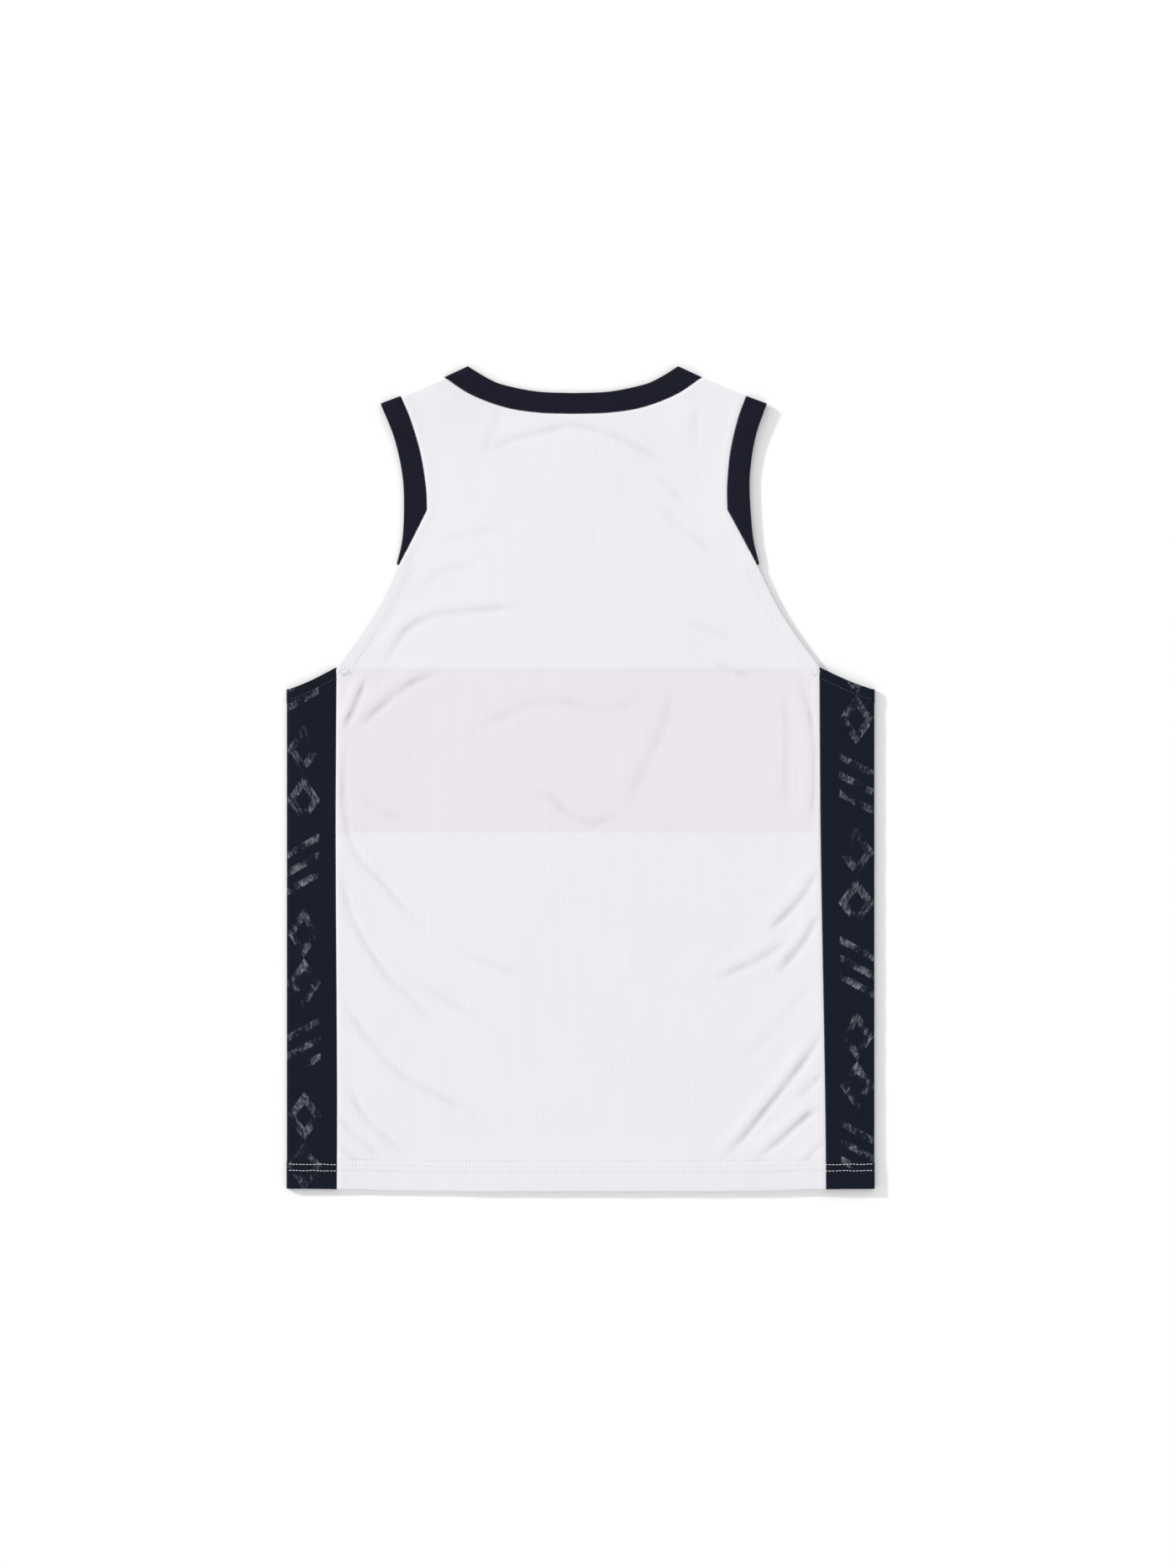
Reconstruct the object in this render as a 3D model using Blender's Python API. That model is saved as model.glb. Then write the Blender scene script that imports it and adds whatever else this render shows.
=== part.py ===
"""Sleeveless basketball jersey, laid flat on its front with the back panel up.

The pieces are those that a maker cuts and sews: a back panel, a front in three panels (yoke, chest band
and lower panel), a side panel down each side that goes round the side fold, one rib round the neck and
one rib on the upper part of each armhole. Each piece is a wall of cloth round its middle surface.
Sizes are in millimetres and become metres in cloth(). X runs across the body, Y from the hem to the
neck and Z up from the surface that the jersey lies on.
"""

import math

import bpy
import numpy as np

MM = 0.001

# Body
LENGTH = 770.0  # hem to the neck points
HEM = -LENGTH / 2
HALF_WIDTH = 274.25  # centre to the side fold
SEAM_AT_HEM = 228.2  # centre to the side seams
SEAM_AT_ARMPIT = 225.3
ARMPIT_UP = 103.9
BAND_TOP = 101.9  # chest band on the front
BAND_LOW = -49.3
LEAN_AT_HEM = 0.75  # the body was laid down slightly askew
WAIST_LEAN = -3.2
WAIST_LEAN_FROM, WAIST_LEAN_TO = -360.0, 0.0
SHOULDER_LEAN = -4.7
SHOULDER_LEAN_FROM, SHOULDER_LEAN_TO = 205.0, 395.0

# Cloth
WALL = 1.2  # one layer of knit
DOUBLE = 1.8  # ribs and hems, two layers pressed together
SEAM_GAP = 0.4
HEM_DEPTH = 24.0
HEM_STEP = 3.0  # from the double cloth of a hem to the single cloth next to it

# How the upper layer lies over the lower one
LIE = 3.0  # lowest middle surface of the upper layer
LIE_BLEND = 0.8
SIDE_LOFT = 1.5
SIDE_LOFT_FROM, SIDE_LOFT_TO = 140.0, 250.0
SHOULDER_LOFT = 1.9
SHOULDER_REACH = 45.0
SHOULDER_LOFT_FROM, SHOULDER_LOFT_TO = 60.0, 110.0
FOLD_ROUND = 2.0  # how far a side or shoulder fold rounds off
CORNER_IN = 0.6  # a panel's corner beside the neck rib stays this much further from it
CORNER_UP = 0.35  # and stops this share of the way short of the shoulder fold's middle

# The rows that end a panel's top. Columns: share of the way over a shoulder fold, height there as a share
# of the layer's height over the fold's middle, share of the way to the neck seam.
TOP_ROWS = ((0.72, 0.70, 0.4), (1.0, 0.28, 0.75), (1.0, 0.0, 1.0))

# Outlines of the right half. Columns: out from the centreline, up from the middle of the length.
NECK_POINT = (98.9, 385.0)
NECK_SEAM_POINT = (120.5, 374.8)
SHOULDER_SEAM_POINT = (161.4, 357.5)
SHOULDER_TIP = (180.2, 350.4)
RIB_NOTCH = (140.2, 251.1)
RIB_END = (167.1, 199.5)
BACK_NECK_EDGE = (NECK_POINT, (80.5, 374.0), (64.8, 367.5), (33.4, 361.3), (0.0, 359.9))
BACK_NECK_SEAM = (NECK_SEAM_POINT, (96.2, 358.8), (64.8, 346.9), (33.4, 341.8), (0.0, 340.6))
FRONT_NECK_EDGE = (NECK_POINT, (60.0, 320.0), (0.0, 236.6))
FRONT_NECK_SEAM = (NECK_SEAM_POINT, (77.0, 305.0), (0.0, 200.0))
RIB_EDGE = (SHOULDER_TIP, (168.8, 319.8), (162.6, 288.4), (161.3, 262.0), (163.3, 225.6), (168.5, 200.3))
RIB_SEAM = (SHOULDER_SEAM_POINT, (152.7, 335.5), (144.5, 304.1), (140.6, 272.7), RIB_NOTCH)
ARMHOLE_HEM = (RIB_END, (185.1, 162.8), (203.0, 134.5), (SEAM_AT_ARMPIT, ARMPIT_UP))
SIDE_TOP = ((SEAM_AT_ARMPIT, ARMPIT_UP), (242.9, 95.2), (257.0, 88.9), (HALF_WIDTH, 82.6))
FRONT_SCOOP = 10.0  # the front armhole is cut this much further in than the back one

# The largest folds of the back. Columns: start x, y, middle x, y, end x, y, width, depth.
FOLDS = (
    (-104, 298, -8, 328, 101, 284, 7, 1.5),
    (72, 282, 86, 271, 102, 256, 8, 1.0),
    (82, 247, 108, 226, 136, 200, 9, 1.1),
    (-156, 172, -127, 192, -92, 201, 9, 0.9),
    (-186, 104, -143, 149, -40, 161, 8, 2.2),
    (-214, 40, -174, 79, -122, 103, 8, 2.2),
    (-226, 40, -205, 82, -184, 120, 6, 1.8),
    (-219, 50, -222, 10, -217, -42, 6, 1.4),
    (-214, -10, -186, -24, -156, -42, 9, 1.0),
    (88, 148, 146, 128, 196, 88, 9, 1.3),
    (124, 106, 146, 101, 171, 88, 7, 1.6),
    (190, 92, 219, 22, 212, -52, 8, 1.9),
    (-104, 40, -18, 71, 74, 88, 10, 1.2),
    (94, 90, 70, 34, 42, -28, 11, 1.2),
    (-66, -10, -4, -38, 58, -20, 9, 1.7),
    (-218, -50, -184, -103, -124, -152, 8, 1.6),
    (-128, -152, -82, -171, -40, -187, 9, 1.1),
    (-232, -62, -192, -168, -130, -238, 8, 2.4),
    (-164, -178, -122, -208, -76, -236, 9, 1.3),
    (-238, -176, -164, -278, -68, -338, 9, 2.1),
    (-222, -280, -197, -318, -154, -360, 7, 1.8),
    (-234, -308, -208, -338, -178, -360, 7, 1.6),
    (230, -62, 206, -110, 168, -146, 8, 2.0),
    (232, -108, 206, -156, 182, -185, 8, 1.7),
    (200, -146, 162, -168, 118, -190, 8, 1.9),
    (230, -168, 207, -195, 182, -220, 10, 0.9),
    (230, -196, 194, -247, 142, -279, 11, 1.0),
    (238, -214, 186, -294, 122, -364, 8, 2.8),
    (238, -296, 203, -317, 158, -356, 8, 2.0),
    (236, -322, 212, -342, 186, -360, 9, 1.0),
    (-268, 60, -256, 66, -236, 70, 6, 1.2),
    (268, 52, 254, 46, 240, 30, 6, 1.0),
)
FOLD_POINTS = 25
FOLD_TAPER = 0.22  # share of its length over which a fold fades at each end
FLANK_AT = 1.7  # the crests beside a trough, in widths from it
FLANK_WIDE = 1.15
NEAR_CREST, FAR_CREST = 0.7, 0.35  # their heights, in depths

# Counts of grid cells
HEM_ROWS = 3  # rows in the doubled hem
SEAM_CELLS, HEM_CELLS, SLANT_CELLS, RIB_CELLS = 32, 8, 4, 7
SHOULDER_CELLS, BACK_NECK_CELLS, FRONT_NECK_CELLS = 4, 15, 6
LEAF_CELLS, UNDER_CELLS, TURN_CELLS, RIB_ACROSS = 5, 3, 6, 3
FLAT_CELLS, BAND_CELLS, LOWER_CELLS, SIDE_TOP_CELLS = 4, 4, 10, 24
GRADING = 0.2  # columns are closer near the side seams, where most folds are

NAVY_RIB = (0.015, 0.016, 0.028)
NAVY = (0.010, 0.014, 0.023)
WHITE = (0.80, 0.79, 0.83)
ROSE = (0.62, 0.50, 0.56)
KNIT_ROUGHNESS = 0.85


def resample(line, shares):
    """Points at these shares of the length of a line of points."""
    along = np.concatenate([[0], np.cumsum(np.linalg.norm(np.diff(line, axis=0), axis=1))])
    at = np.asarray(shares) * along[-1]
    return np.stack([np.interp(at, along, line[:, k]) for k in range(line.shape[1])], axis=1)


def curve(points, cells):
    """cells + 1 even points on a smooth curve through the given ones (Catmull-Rom)."""
    given = np.array(points, float)
    ends = np.vstack([2 * given[0] - given[1], given, 2 * given[-1] - given[-2]])
    t = np.linspace(0, 1, 16, endpoint=False)[:, None]
    spans = [
        0.5 * (2 * b + (c - a) * t + (2 * a - 5 * b + 4 * c - d) * t**2 + (3 * b - a - 3 * c + d) * t**3)
        for a, b, c, d in zip(ends, ends[1:], ends[2:], ends[3:])
    ]
    return resample(np.vstack([*spans, given[-1:]]), np.linspace(0, 1, cells + 1))


def joined(*lines):
    """Lines of points end to end, with each shared point once."""
    return np.vstack([lines[0], *[line[1:] for line in lines[1:]]])


def mirrored(line):
    """The same line on the other side of the centreline."""
    return line * np.array([-1, 1])


def shifted(line, distance):
    """A line moved to the left of its run, with mitred corners."""
    run = np.diff(line, axis=0)
    left = np.stack([-run[:, 1], run[:, 0]], axis=1) / np.linalg.norm(run, axis=1, keepdims=True)
    before, after = np.vstack([left[:1], left]), np.vstack([left, left[-1:]])
    return line + distance * (before + after) / (1 + (before * after).sum(axis=1, keepdims=True))


def step(value, low, high):
    """A smooth step from 0 at low to 1 at high."""
    t = np.clip((value - low) / (high - low), 0, 1)
    return t * t * (3 - 2 * t)


def seam_out(up):
    """Centre to a side seam, at a height up the body."""
    return np.interp(up, [HEM, ARMPIT_UP], [SEAM_AT_HEM, SEAM_AT_ARMPIT])


def lean(up):
    """How far the centreline lies from X = 0 at a height up the body."""
    waist = WAIST_LEAN * step(up, WAIST_LEAN_FROM, WAIST_LEAN_TO)
    return LEAN_AT_HEM + waist + SHOULDER_LEAN * step(up, SHOULDER_LEAN_FROM, SHOULDER_LEAN_TO)


def laid(points, side=1):
    """Points of the right half's cut on a side of the body, moved with its lean."""
    return np.stack([side * points[..., 0] + lean(points[..., 1]), points[..., 1]], axis=-1)


def scooped(line):
    """The outline of the back armhole moved in to the front's."""
    share = np.clip((line[:, 1] - ARMPIT_UP) / (SHOULDER_TIP[1] - ARMPIT_UP), 0, 1)
    return line - np.stack([FRONT_SCOOP * np.sin(math.pi * share), np.zeros(len(line))], axis=1)


def shoulder_outward():
    """The direction out across the right shoulder line."""
    along = np.subtract(SHOULDER_TIP, NECK_POINT)
    return np.array([-along[1], along[0]]) / np.linalg.norm(along)


def fold_relief(x, y, fold):
    """Height that one fold adds at the points: a trough with a crest on each side."""
    start, middle, end = (np.array(fold[i : i + 2], float) for i in (0, 2, 4))
    width, depth = fold[6:]
    t = np.linspace(0, 1, FOLD_POINTS)[:, None]
    handle = 2 * middle - (start + end) / 2
    line = (1 - t) ** 2 * start + 2 * t * (1 - t) * handle + t**2 * end
    away = np.stack([x, y], axis=-1)[..., None, :] - line
    nearest = np.argmin((away**2).sum(-1), axis=-1)
    run = np.gradient(line, axis=0)
    run /= np.linalg.norm(run, axis=1, keepdims=True)
    off = np.take_along_axis(away, nearest[..., None, None], axis=-2)[..., 0, :]
    along = run[nearest]
    side = (along[..., 0] * off[..., 1] - along[..., 1] * off[..., 0]) / width
    past = (along * off).sum(-1) / width
    share = nearest / (FOLD_POINTS - 1)
    fade = step(share, 0, FOLD_TAPER) * step(1 - share, 0, FOLD_TAPER) * np.exp(-np.minimum(past**2, 30))
    crests = NEAR_CREST * np.exp(-(((side - FLANK_AT) / FLANK_WIDE) ** 2))
    crests = crests + FAR_CREST * np.exp(-(((side + FLANK_AT) / FLANK_WIDE) ** 2))
    return depth * fade * (crests - np.exp(-(side**2)))


def upper_height(points):
    """Height of the upper layer's middle surface at points of the laid-out body."""
    x, y = points[..., 0], points[..., 1]
    out = np.abs(x - lean(y))
    inward = -((out - NECK_POINT[0]) * shoulder_outward()[0] + (y - NECK_POINT[1]) * shoulder_outward()[1])
    height = np.full(x.shape, LIE + LIE_BLEND / 2)
    height += SIDE_LOFT * step(out, SIDE_LOFT_FROM, SIDE_LOFT_TO)
    over_shoulder = np.exp(-((inward / SHOULDER_REACH) ** 2))
    height += SHOULDER_LOFT * over_shoulder * step(out, SHOULDER_LOFT_FROM, SHOULDER_LOFT_TO)
    for fold in FOLDS:
        height += fold_relief(x, y, fold)
    over = height - LIE
    return LIE + (over + np.sqrt(over**2 + LIE_BLEND**2)) / 2


def raised(flat, height):
    """Flat points with a height: one number, or one for each point."""
    return np.concatenate([flat, np.broadcast_to(height, flat.shape[:-1])[..., None]], axis=-1)


def finish(name, colour):
    """A matt knit in one colour."""
    material = bpy.data.materials.new(name + "_knit")
    material.use_nodes = True
    shader = material.node_tree.nodes["Principled BSDF"]
    shader.inputs["Base Color"].default_value = (*colour, 1)
    shader.inputs["Roughness"].default_value = KNIT_ROUGHNESS
    shader.inputs["Metallic"].default_value = 0.0
    return material


def cloth(name, middle, colour, doubled, closed=False):
    """An object: a wall of cloth round a grid of middle points, rows x columns x 3.

    doubled is true at the points where the cloth is two layers thick. closed joins the last row to the
    first.
    """
    rows, columns = middle.shape[:2]
    number = np.arange(rows * columns).reshape(rows, columns)
    if closed:
        number = np.vstack([number, number[:1]])
    faces = np.stack([number[:-1, :-1], number[:-1, 1:], number[1:, 1:], number[1:, :-1]], axis=-1)
    mesh = bpy.data.meshes.new(name)
    mesh.from_pydata((middle.reshape(-1, 3) * MM).tolist(), [], faces.reshape(-1, 4).tolist())
    mesh.shade_smooth()
    mesh.materials.append(finish(name, colour))
    piece = bpy.data.objects.new(name, mesh)
    bpy.context.scene.collection.objects.link(piece)
    doubled = np.broadcast_to(doubled, (rows, columns)).ravel()
    group = piece.vertex_groups.new(name="layers")
    group.add(np.flatnonzero(doubled).tolist(), 1.0, "REPLACE")
    group.add(np.flatnonzero(~doubled).tolist(), WALL / DOUBLE, "REPLACE")
    wall = piece.modifiers.new("wall", "SOLIDIFY")
    wall.thickness = DOUBLE * MM
    wall.offset = 0
    wall.vertex_group = group.name
    return piece


def seam_levels():
    """Heights of the rows on a side seam, from the hem to the armpit."""
    hem = np.linspace(HEM, HEM + HEM_DEPTH, HEM_ROWS)
    return np.concatenate([hem, np.linspace(HEM + HEM_DEPTH + HEM_STEP, ARMPIT_UP, SEAM_CELLS + 1)])


def side_edge(levels, front=False):
    """Right edge of a body panel, from its lowest level on the side seam up to the shoulder."""
    slant = curve([RIB_NOTCH, RIB_END], SLANT_CELLS)
    armhole = joined(curve(RIB_SEAM, RIB_CELLS), slant, curve(ARMHOLE_HEM, HEM_CELLS))
    seam = np.stack([seam_out(levels), levels], axis=1)[::-1]
    return shifted(joined(scooped(armhole) if front else armhole, seam), -SEAM_GAP / 2)[::-1]


def neck_line(points, cells, shift):
    """The right half of a neck line, from the shoulder to the centre, moved towards the panel."""
    half = curve(points, cells)
    return shifted(joined(half, mirrored(half)[::-1]), shift)[: cells + 1]


def top_edges(corner, neck_seam, cells):
    """Where a panel's last rows start and end, left to right, and how far each column goes round a fold."""
    reach = FOLD_ROUND + WALL / 2
    ends = neck_line(neck_seam, cells, SEAM_GAP / 2)
    starts = neck_line(neck_seam, cells, SEAM_GAP / 2 + reach)
    outward = shoulder_outward()
    neck_corner = ends[0] + CORNER_IN * np.array([outward[1], -outward[0]])
    shoulder = np.linspace(corner, neck_corner, SHOULDER_CELLS + 1)
    starts = np.vstack([shoulder - outward * reach, starts[1:]])
    ends = np.vstack([shoulder - outward * WALL / 2, ends[1:]])
    folds = np.where(np.arange(len(ends)) < SHOULDER_CELLS, 1.0, 0.0)
    folds[SHOULDER_CELLS] = 1 - CORNER_UP
    both = [joined(mirrored(line), line[::-1]) for line in (starts, ends)]
    return both[0], both[1], np.concatenate([folds, folds[-2::-1]])


def patch(right, low, high):
    """A grid of points between a right edge, its mirror image on the left, and a low and a high edge."""
    v = ((right[:, 1] - right[0, 1]) / (right[-1, 1] - right[0, 1]))[:, None, None]
    u = ((low[:, 0] - low[0, 0]) / (low[-1, 0] - low[0, 0]))[None, :, None]
    across = (1 - u) * mirrored(right)[:, None] + u * right[:, None]
    upward = (1 - v) * low + v * high
    low_chord = (1 - u) * low[0] + u * low[-1]
    high_chord = (1 - u) * high[0] + u * high[-1]
    return across + upward - (1 - v) * low_chord - v * high_chord


def body_panel(right, neck_seam, cells, up):
    """Middle points of the back (up = 1) or the front yoke (up = -1), with the turn over the shoulders."""
    starts, ends, folds = top_edges(right[-1], neck_seam, cells)
    right[-1] = starts[-1]
    even = np.linspace(-1, 1, len(starts))
    across = even + GRADING / math.pi * np.sin(math.pi * even)
    low = np.stack([across * right[0, 0], np.full(len(starts), right[0, 1])], axis=1)
    flat = laid(patch(right, low, starts))
    over = upper_height(flat[-1])
    height = upper_height(flat) if up > 0 else WALL / 2
    last = over if up > 0 else WALL / 2
    drop = (over - WALL / 2 - SEAM_GAP) / 2 * folds
    rows = [raised(flat, height)]
    for across_fold, share, to_seam in TOP_ROWS:
        along = np.where(folds > 0, across_fold, to_seam)[:, None]
        at = laid((1 - along) * starts + along * ends)
        rows.append(raised(at, last - up * drop * (1 - share))[None])
    return np.concatenate(rows)


def back_panel():
    """The white back, from the hem to the shoulder seams, with its folds."""
    right = side_edge(seam_levels())
    middle = body_panel(right, BACK_NECK_SEAM, BACK_NECK_CELLS, 1)
    level_rows = HEM_ROWS + 1
    middle[:level_rows, :, 1] = seam_levels()[:level_rows, None]
    middle[:level_rows, :, 2] = upper_height(middle[:level_rows, :, :2])
    return cloth("back_panel", middle, WHITE, (np.arange(len(middle)) < HEM_ROWS)[:, None])


def front_yoke():
    """The upper front, from the chest band to the shoulder seams, with the V of the neck."""
    right = side_edge(np.array([BAND_TOP + SEAM_GAP / 2, ARMPIT_UP]), front=True)
    middle = body_panel(right, FRONT_NECK_SEAM, FRONT_NECK_CELLS, -1)
    return cloth("front_yoke", middle[:, ::-1], WHITE, False)


def front_panel(name, levels, colour):
    """A flat panel of the front with rows at these levels, from side seam to side seam."""
    up = levels[:, None]
    out = (seam_out(up) - SEAM_GAP / 2) * np.linspace(-1, 1, FLAT_CELLS + 1)
    flat = np.stack(np.broadcast_arrays(out, up), axis=2)
    doubled = up <= HEM + HEM_DEPTH
    middle = raised(laid(flat), np.where(doubled, DOUBLE, WALL) / 2)
    return cloth(name, middle[:, ::-1], colour, doubled)


def side_panel(name, side):
    """A navy side panel: from the back's side seam out to the side fold, and under to the front's."""
    levels = seam_levels()
    shares = (levels - HEM) / (ARMPIT_UP - HEM)
    doubled = levels < HEM + HEM_DEPTH + HEM_STEP / 2
    top_edge = curve(SIDE_TOP, SIDE_TOP_CELLS)
    fold_out = HALF_WIDTH - FOLD_ROUND - WALL / 2
    turn = np.linspace(0, math.pi, TURN_CELLS + 1)
    rows = []
    for share, two in zip(shares, doubled):
        wall = DOUBLE if two else WALL
        seam = seam_out(HEM + share * (ARMPIT_UP - HEM)) + SEAM_GAP / 2
        leaves = []
        for cells in (LEAF_CELLS, UNDER_CELLS):
            part = np.linspace(0, 1, cells + 1)
            out = seam + (fold_out - seam) * part
            up = HEM + share * (np.interp(out, top_edge[:, 0], top_edge[:, 1]) - HEM)
            leaves.append(np.stack([side * out + lean(up) * (1 - part), up], axis=1))
        above = raised(leaves[0], upper_height(leaves[0]))
        below = raised(leaves[1], wall / 2)[::-1]
        rest, half = (above[-1, 2] + wall / 2) / 2, (above[-1, 2] - wall / 2) / 2
        round_x = above[-1, 0] + side * FOLD_ROUND * np.sin(turn)
        round_y = np.full(len(turn), above[-1, 1])
        round_z = rest + half * np.cos(turn)
        rows.append(np.vstack([above[:-1], np.stack([round_x, round_y, round_z], axis=1), below[1:]]))
    middle = np.array(rows)
    if side < 0:
        middle = middle[:, ::-1]
    return cloth(name, middle, NAVY, doubled[:, None])


def strip(edge, seam, side, height):
    """Rows of points across a rib, from its free edge to its seam, short of the shoulder."""
    share = np.linspace(0, 1, RIB_ACROSS + 1)[:, None]
    flat = laid((1 - share) * edge[1:, None] + share * seam[1:, None], side)
    return raised(flat, height(flat))


def shoulder_turn(back, front, side):
    """Rows across a rib over a shoulder fold. back and front are its edge and its seam on each layer."""
    reach = FOLD_ROUND + DOUBLE / 2
    share = np.linspace(0, 1, RIB_ACROSS + 1)[:, None]
    outward = shoulder_outward()
    turns = np.linspace(0, math.pi, TURN_CELLS + 1)
    flats = []
    for number, turn in enumerate(turns):
        ends = []
        for line in back if number <= TURN_CELLS // 2 else front:
            run = line[1] - line[0]
            ends.append(line[0] - run / (run @ outward) * (reach - FOLD_ROUND * math.sin(turn)))
        flats.append(laid((1 - share) * ends[0] + share * ends[1], side))
    over = upper_height(flats[0])
    rest, half = (over + DOUBLE / 2) / 2, (over - DOUBLE / 2) / 2
    return raised(np.array(flats), rest + half * np.cos(turns)[:, None])


def under_height(flat):
    """Height of the middle of a rib's lower layer."""
    return DOUBLE / 2


def neck_rib():
    """The rib round the neck: along the back neck, over both shoulders and down to the front's V."""
    back_seam = neck_line(BACK_NECK_SEAM, BACK_NECK_CELLS, -SEAM_GAP / 2)
    front_seam = neck_line(FRONT_NECK_SEAM, FRONT_NECK_CELLS, -SEAM_GAP / 2)
    back = curve(BACK_NECK_EDGE, BACK_NECK_CELLS), back_seam
    front = curve(FRONT_NECK_EDGE, FRONT_NECK_CELLS), front_seam
    halves = [
        np.concatenate(
            [
                strip(*back, side, upper_height)[::-1],
                shoulder_turn(back, front, side),
                strip(*front, side, under_height),
            ]
        )
        for side in (1, -1)
    ]
    middle = np.concatenate([halves[0], halves[1][-2:0:-1]])
    return cloth("neck_rib", middle, NAVY_RIB, True, closed=True)


def armhole_rib(name, side):
    """The rib on the upper armhole, from its slanting end on the back over the shoulder to the front's."""
    seam = joined(curve(RIB_SEAM, RIB_CELLS), curve([RIB_NOTCH, RIB_END], SLANT_CELLS))
    edge = curve(RIB_EDGE, RIB_CELLS + SLANT_CELLS)
    back = edge, shifted(seam, SEAM_GAP / 2)
    front = scooped(edge), shifted(scooped(seam), SEAM_GAP / 2)
    middle = np.concatenate(
        [
            strip(*back, side, upper_height)[::-1],
            shoulder_turn(back, front, side),
            strip(*front, side, under_height),
        ]
    )
    if side > 0:
        middle = middle[:, ::-1]
    return cloth(name, middle, NAVY_RIB, True)


def main():
    """Clears the scene and builds every piece."""
    for old in list(bpy.data.objects):
        bpy.data.objects.remove(old)
    back_panel()
    front_yoke()
    band = np.linspace(BAND_LOW + SEAM_GAP / 2, BAND_TOP - SEAM_GAP / 2, BAND_CELLS + 1)
    front_panel("front_chest_band", band, ROSE)
    hem_top = HEM + HEM_DEPTH
    single = np.linspace(hem_top + HEM_STEP, BAND_LOW - SEAM_GAP / 2, LOWER_CELLS + 1)
    front_panel("front_lower_panel", np.concatenate([[HEM, hem_top], single]), WHITE)
    side_panel("side_panel_left", -1)
    side_panel("side_panel_right", 1)
    neck_rib()
    armhole_rib("armhole_rib_left", -1)
    armhole_rib("armhole_rib_right", 1)


main()
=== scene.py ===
"""Sleeveless basketball jersey, laid flat on its front with the back panel up.

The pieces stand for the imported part's nodes: a white back panel, the front in three panels under it, a navy
side panel round each side fold, one rib round the neck and one rib on each upper armhole. Stitches lie on
them. Lengths are in millimetres until a mesh is made. X runs across the body, Y from the hem to the neck and
Z up from the surface that the jersey lies on.
"""

from __future__ import annotations

import logging
import math
from dataclasses import dataclass, field
from enum import Enum

import bpy
import numpy as np
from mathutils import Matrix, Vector
from mathutils.bvhtree import BVHTree

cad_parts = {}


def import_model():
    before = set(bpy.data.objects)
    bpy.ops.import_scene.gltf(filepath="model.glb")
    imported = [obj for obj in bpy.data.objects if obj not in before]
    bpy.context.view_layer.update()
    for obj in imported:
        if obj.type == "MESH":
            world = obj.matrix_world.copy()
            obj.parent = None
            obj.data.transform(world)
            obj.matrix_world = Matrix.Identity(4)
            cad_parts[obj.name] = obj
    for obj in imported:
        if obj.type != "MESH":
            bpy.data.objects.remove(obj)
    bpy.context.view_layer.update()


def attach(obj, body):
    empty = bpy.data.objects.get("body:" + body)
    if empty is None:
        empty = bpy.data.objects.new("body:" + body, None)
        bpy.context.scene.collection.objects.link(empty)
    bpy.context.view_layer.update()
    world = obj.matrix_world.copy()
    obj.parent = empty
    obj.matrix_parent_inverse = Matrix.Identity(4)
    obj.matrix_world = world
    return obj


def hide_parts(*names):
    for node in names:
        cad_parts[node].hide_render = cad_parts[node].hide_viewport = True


log = logging.getLogger("jersey")
MM = 0.001
KNIT_PITCH = 3.3  # from one rib of the mesh to the next
SPAN_CELLS = 24  # steps of a curve between two given points
LEVEL_TAIL = 40.0  # a bell curve falls no further than exp(-this)
Array = np.ndarray
Point = tuple[float, float]


class Side(Enum):
    """A side of the body as seen in the picture."""

    LEFT = -1
    RIGHT = 1


class Layer(Enum):
    """A layer of the garment as it lies: the back is the upper one."""

    BACK = 1
    FRONT = -1


# ---------------------------------------------------------------------------------------------- lines


def lengths(line: Array) -> Array:
    """How far along a line each of its points lies."""
    return np.concatenate([[0], np.cumsum(np.linalg.norm(np.diff(line, axis=0), axis=1))])


def unit(vectors: Array) -> Array:
    """Vectors of length 1 that point the same way."""
    return vectors / np.maximum(np.linalg.norm(vectors, axis=-1, keepdims=True), 1e-9)


def raised(flat: Array, height: Array) -> Array:
    """Points with a height, or another third coordinate, added."""
    return np.concatenate([flat, height[..., None]], axis=-1)


def quads(number: Array) -> Array:
    """The four-sided faces of a grid of point numbers."""
    corners = [number[:-1, :-1], number[:-1, 1:], number[1:, 1:], number[1:, :-1]]
    return np.stack(corners, -1).reshape(-1, 4)


def resample(line: Array, shares: Array) -> Array:
    """Finds points at shares of a line's length.

    Args:
        line: Points of the line, n x k.
        shares: Shares of the length, from 0 to 1.

    Returns:
        One point for each share.
    """
    along = lengths(line)
    at = np.asarray(shares) * along[-1]
    return np.stack([np.interp(at, along, line[:, k]) for k in range(line.shape[1])], axis=1)


def curve(points: object, cells: int) -> Array:
    """Draws a smooth curve (Catmull-Rom) through points.

    Args:
        points: The given points.
        cells: How many equal steps the curve is cut into.

    Returns:
        cells + 1 points.
    """
    given = np.array(points, float)
    ends = np.vstack([2 * given[0] - given[1], given, 2 * given[-1] - given[-2]])
    t = np.linspace(0, 1, SPAN_CELLS, endpoint=False)[:, None]
    spans = [
        0.5 * (2 * b + (c - a) * t + (2 * a - 5 * b + 4 * c - d) * t**2 + (3 * b - a - 3 * c + d) * t**3)
        for a, b, c, d in zip(ends, ends[1:], ends[2:], ends[3:])
    ]
    return resample(np.vstack([*spans, given[-1:]]), np.linspace(0, 1, cells + 1))


def joined(*lines: Array) -> Array:
    """Lines of points end to end, with each shared point once."""
    return np.vstack([lines[0], *[line[1:] for line in lines[1:]]])


def mirrored(line: Array) -> Array:
    """The same line on the other side of the centreline."""
    return line * np.array([-1, 1])


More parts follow.
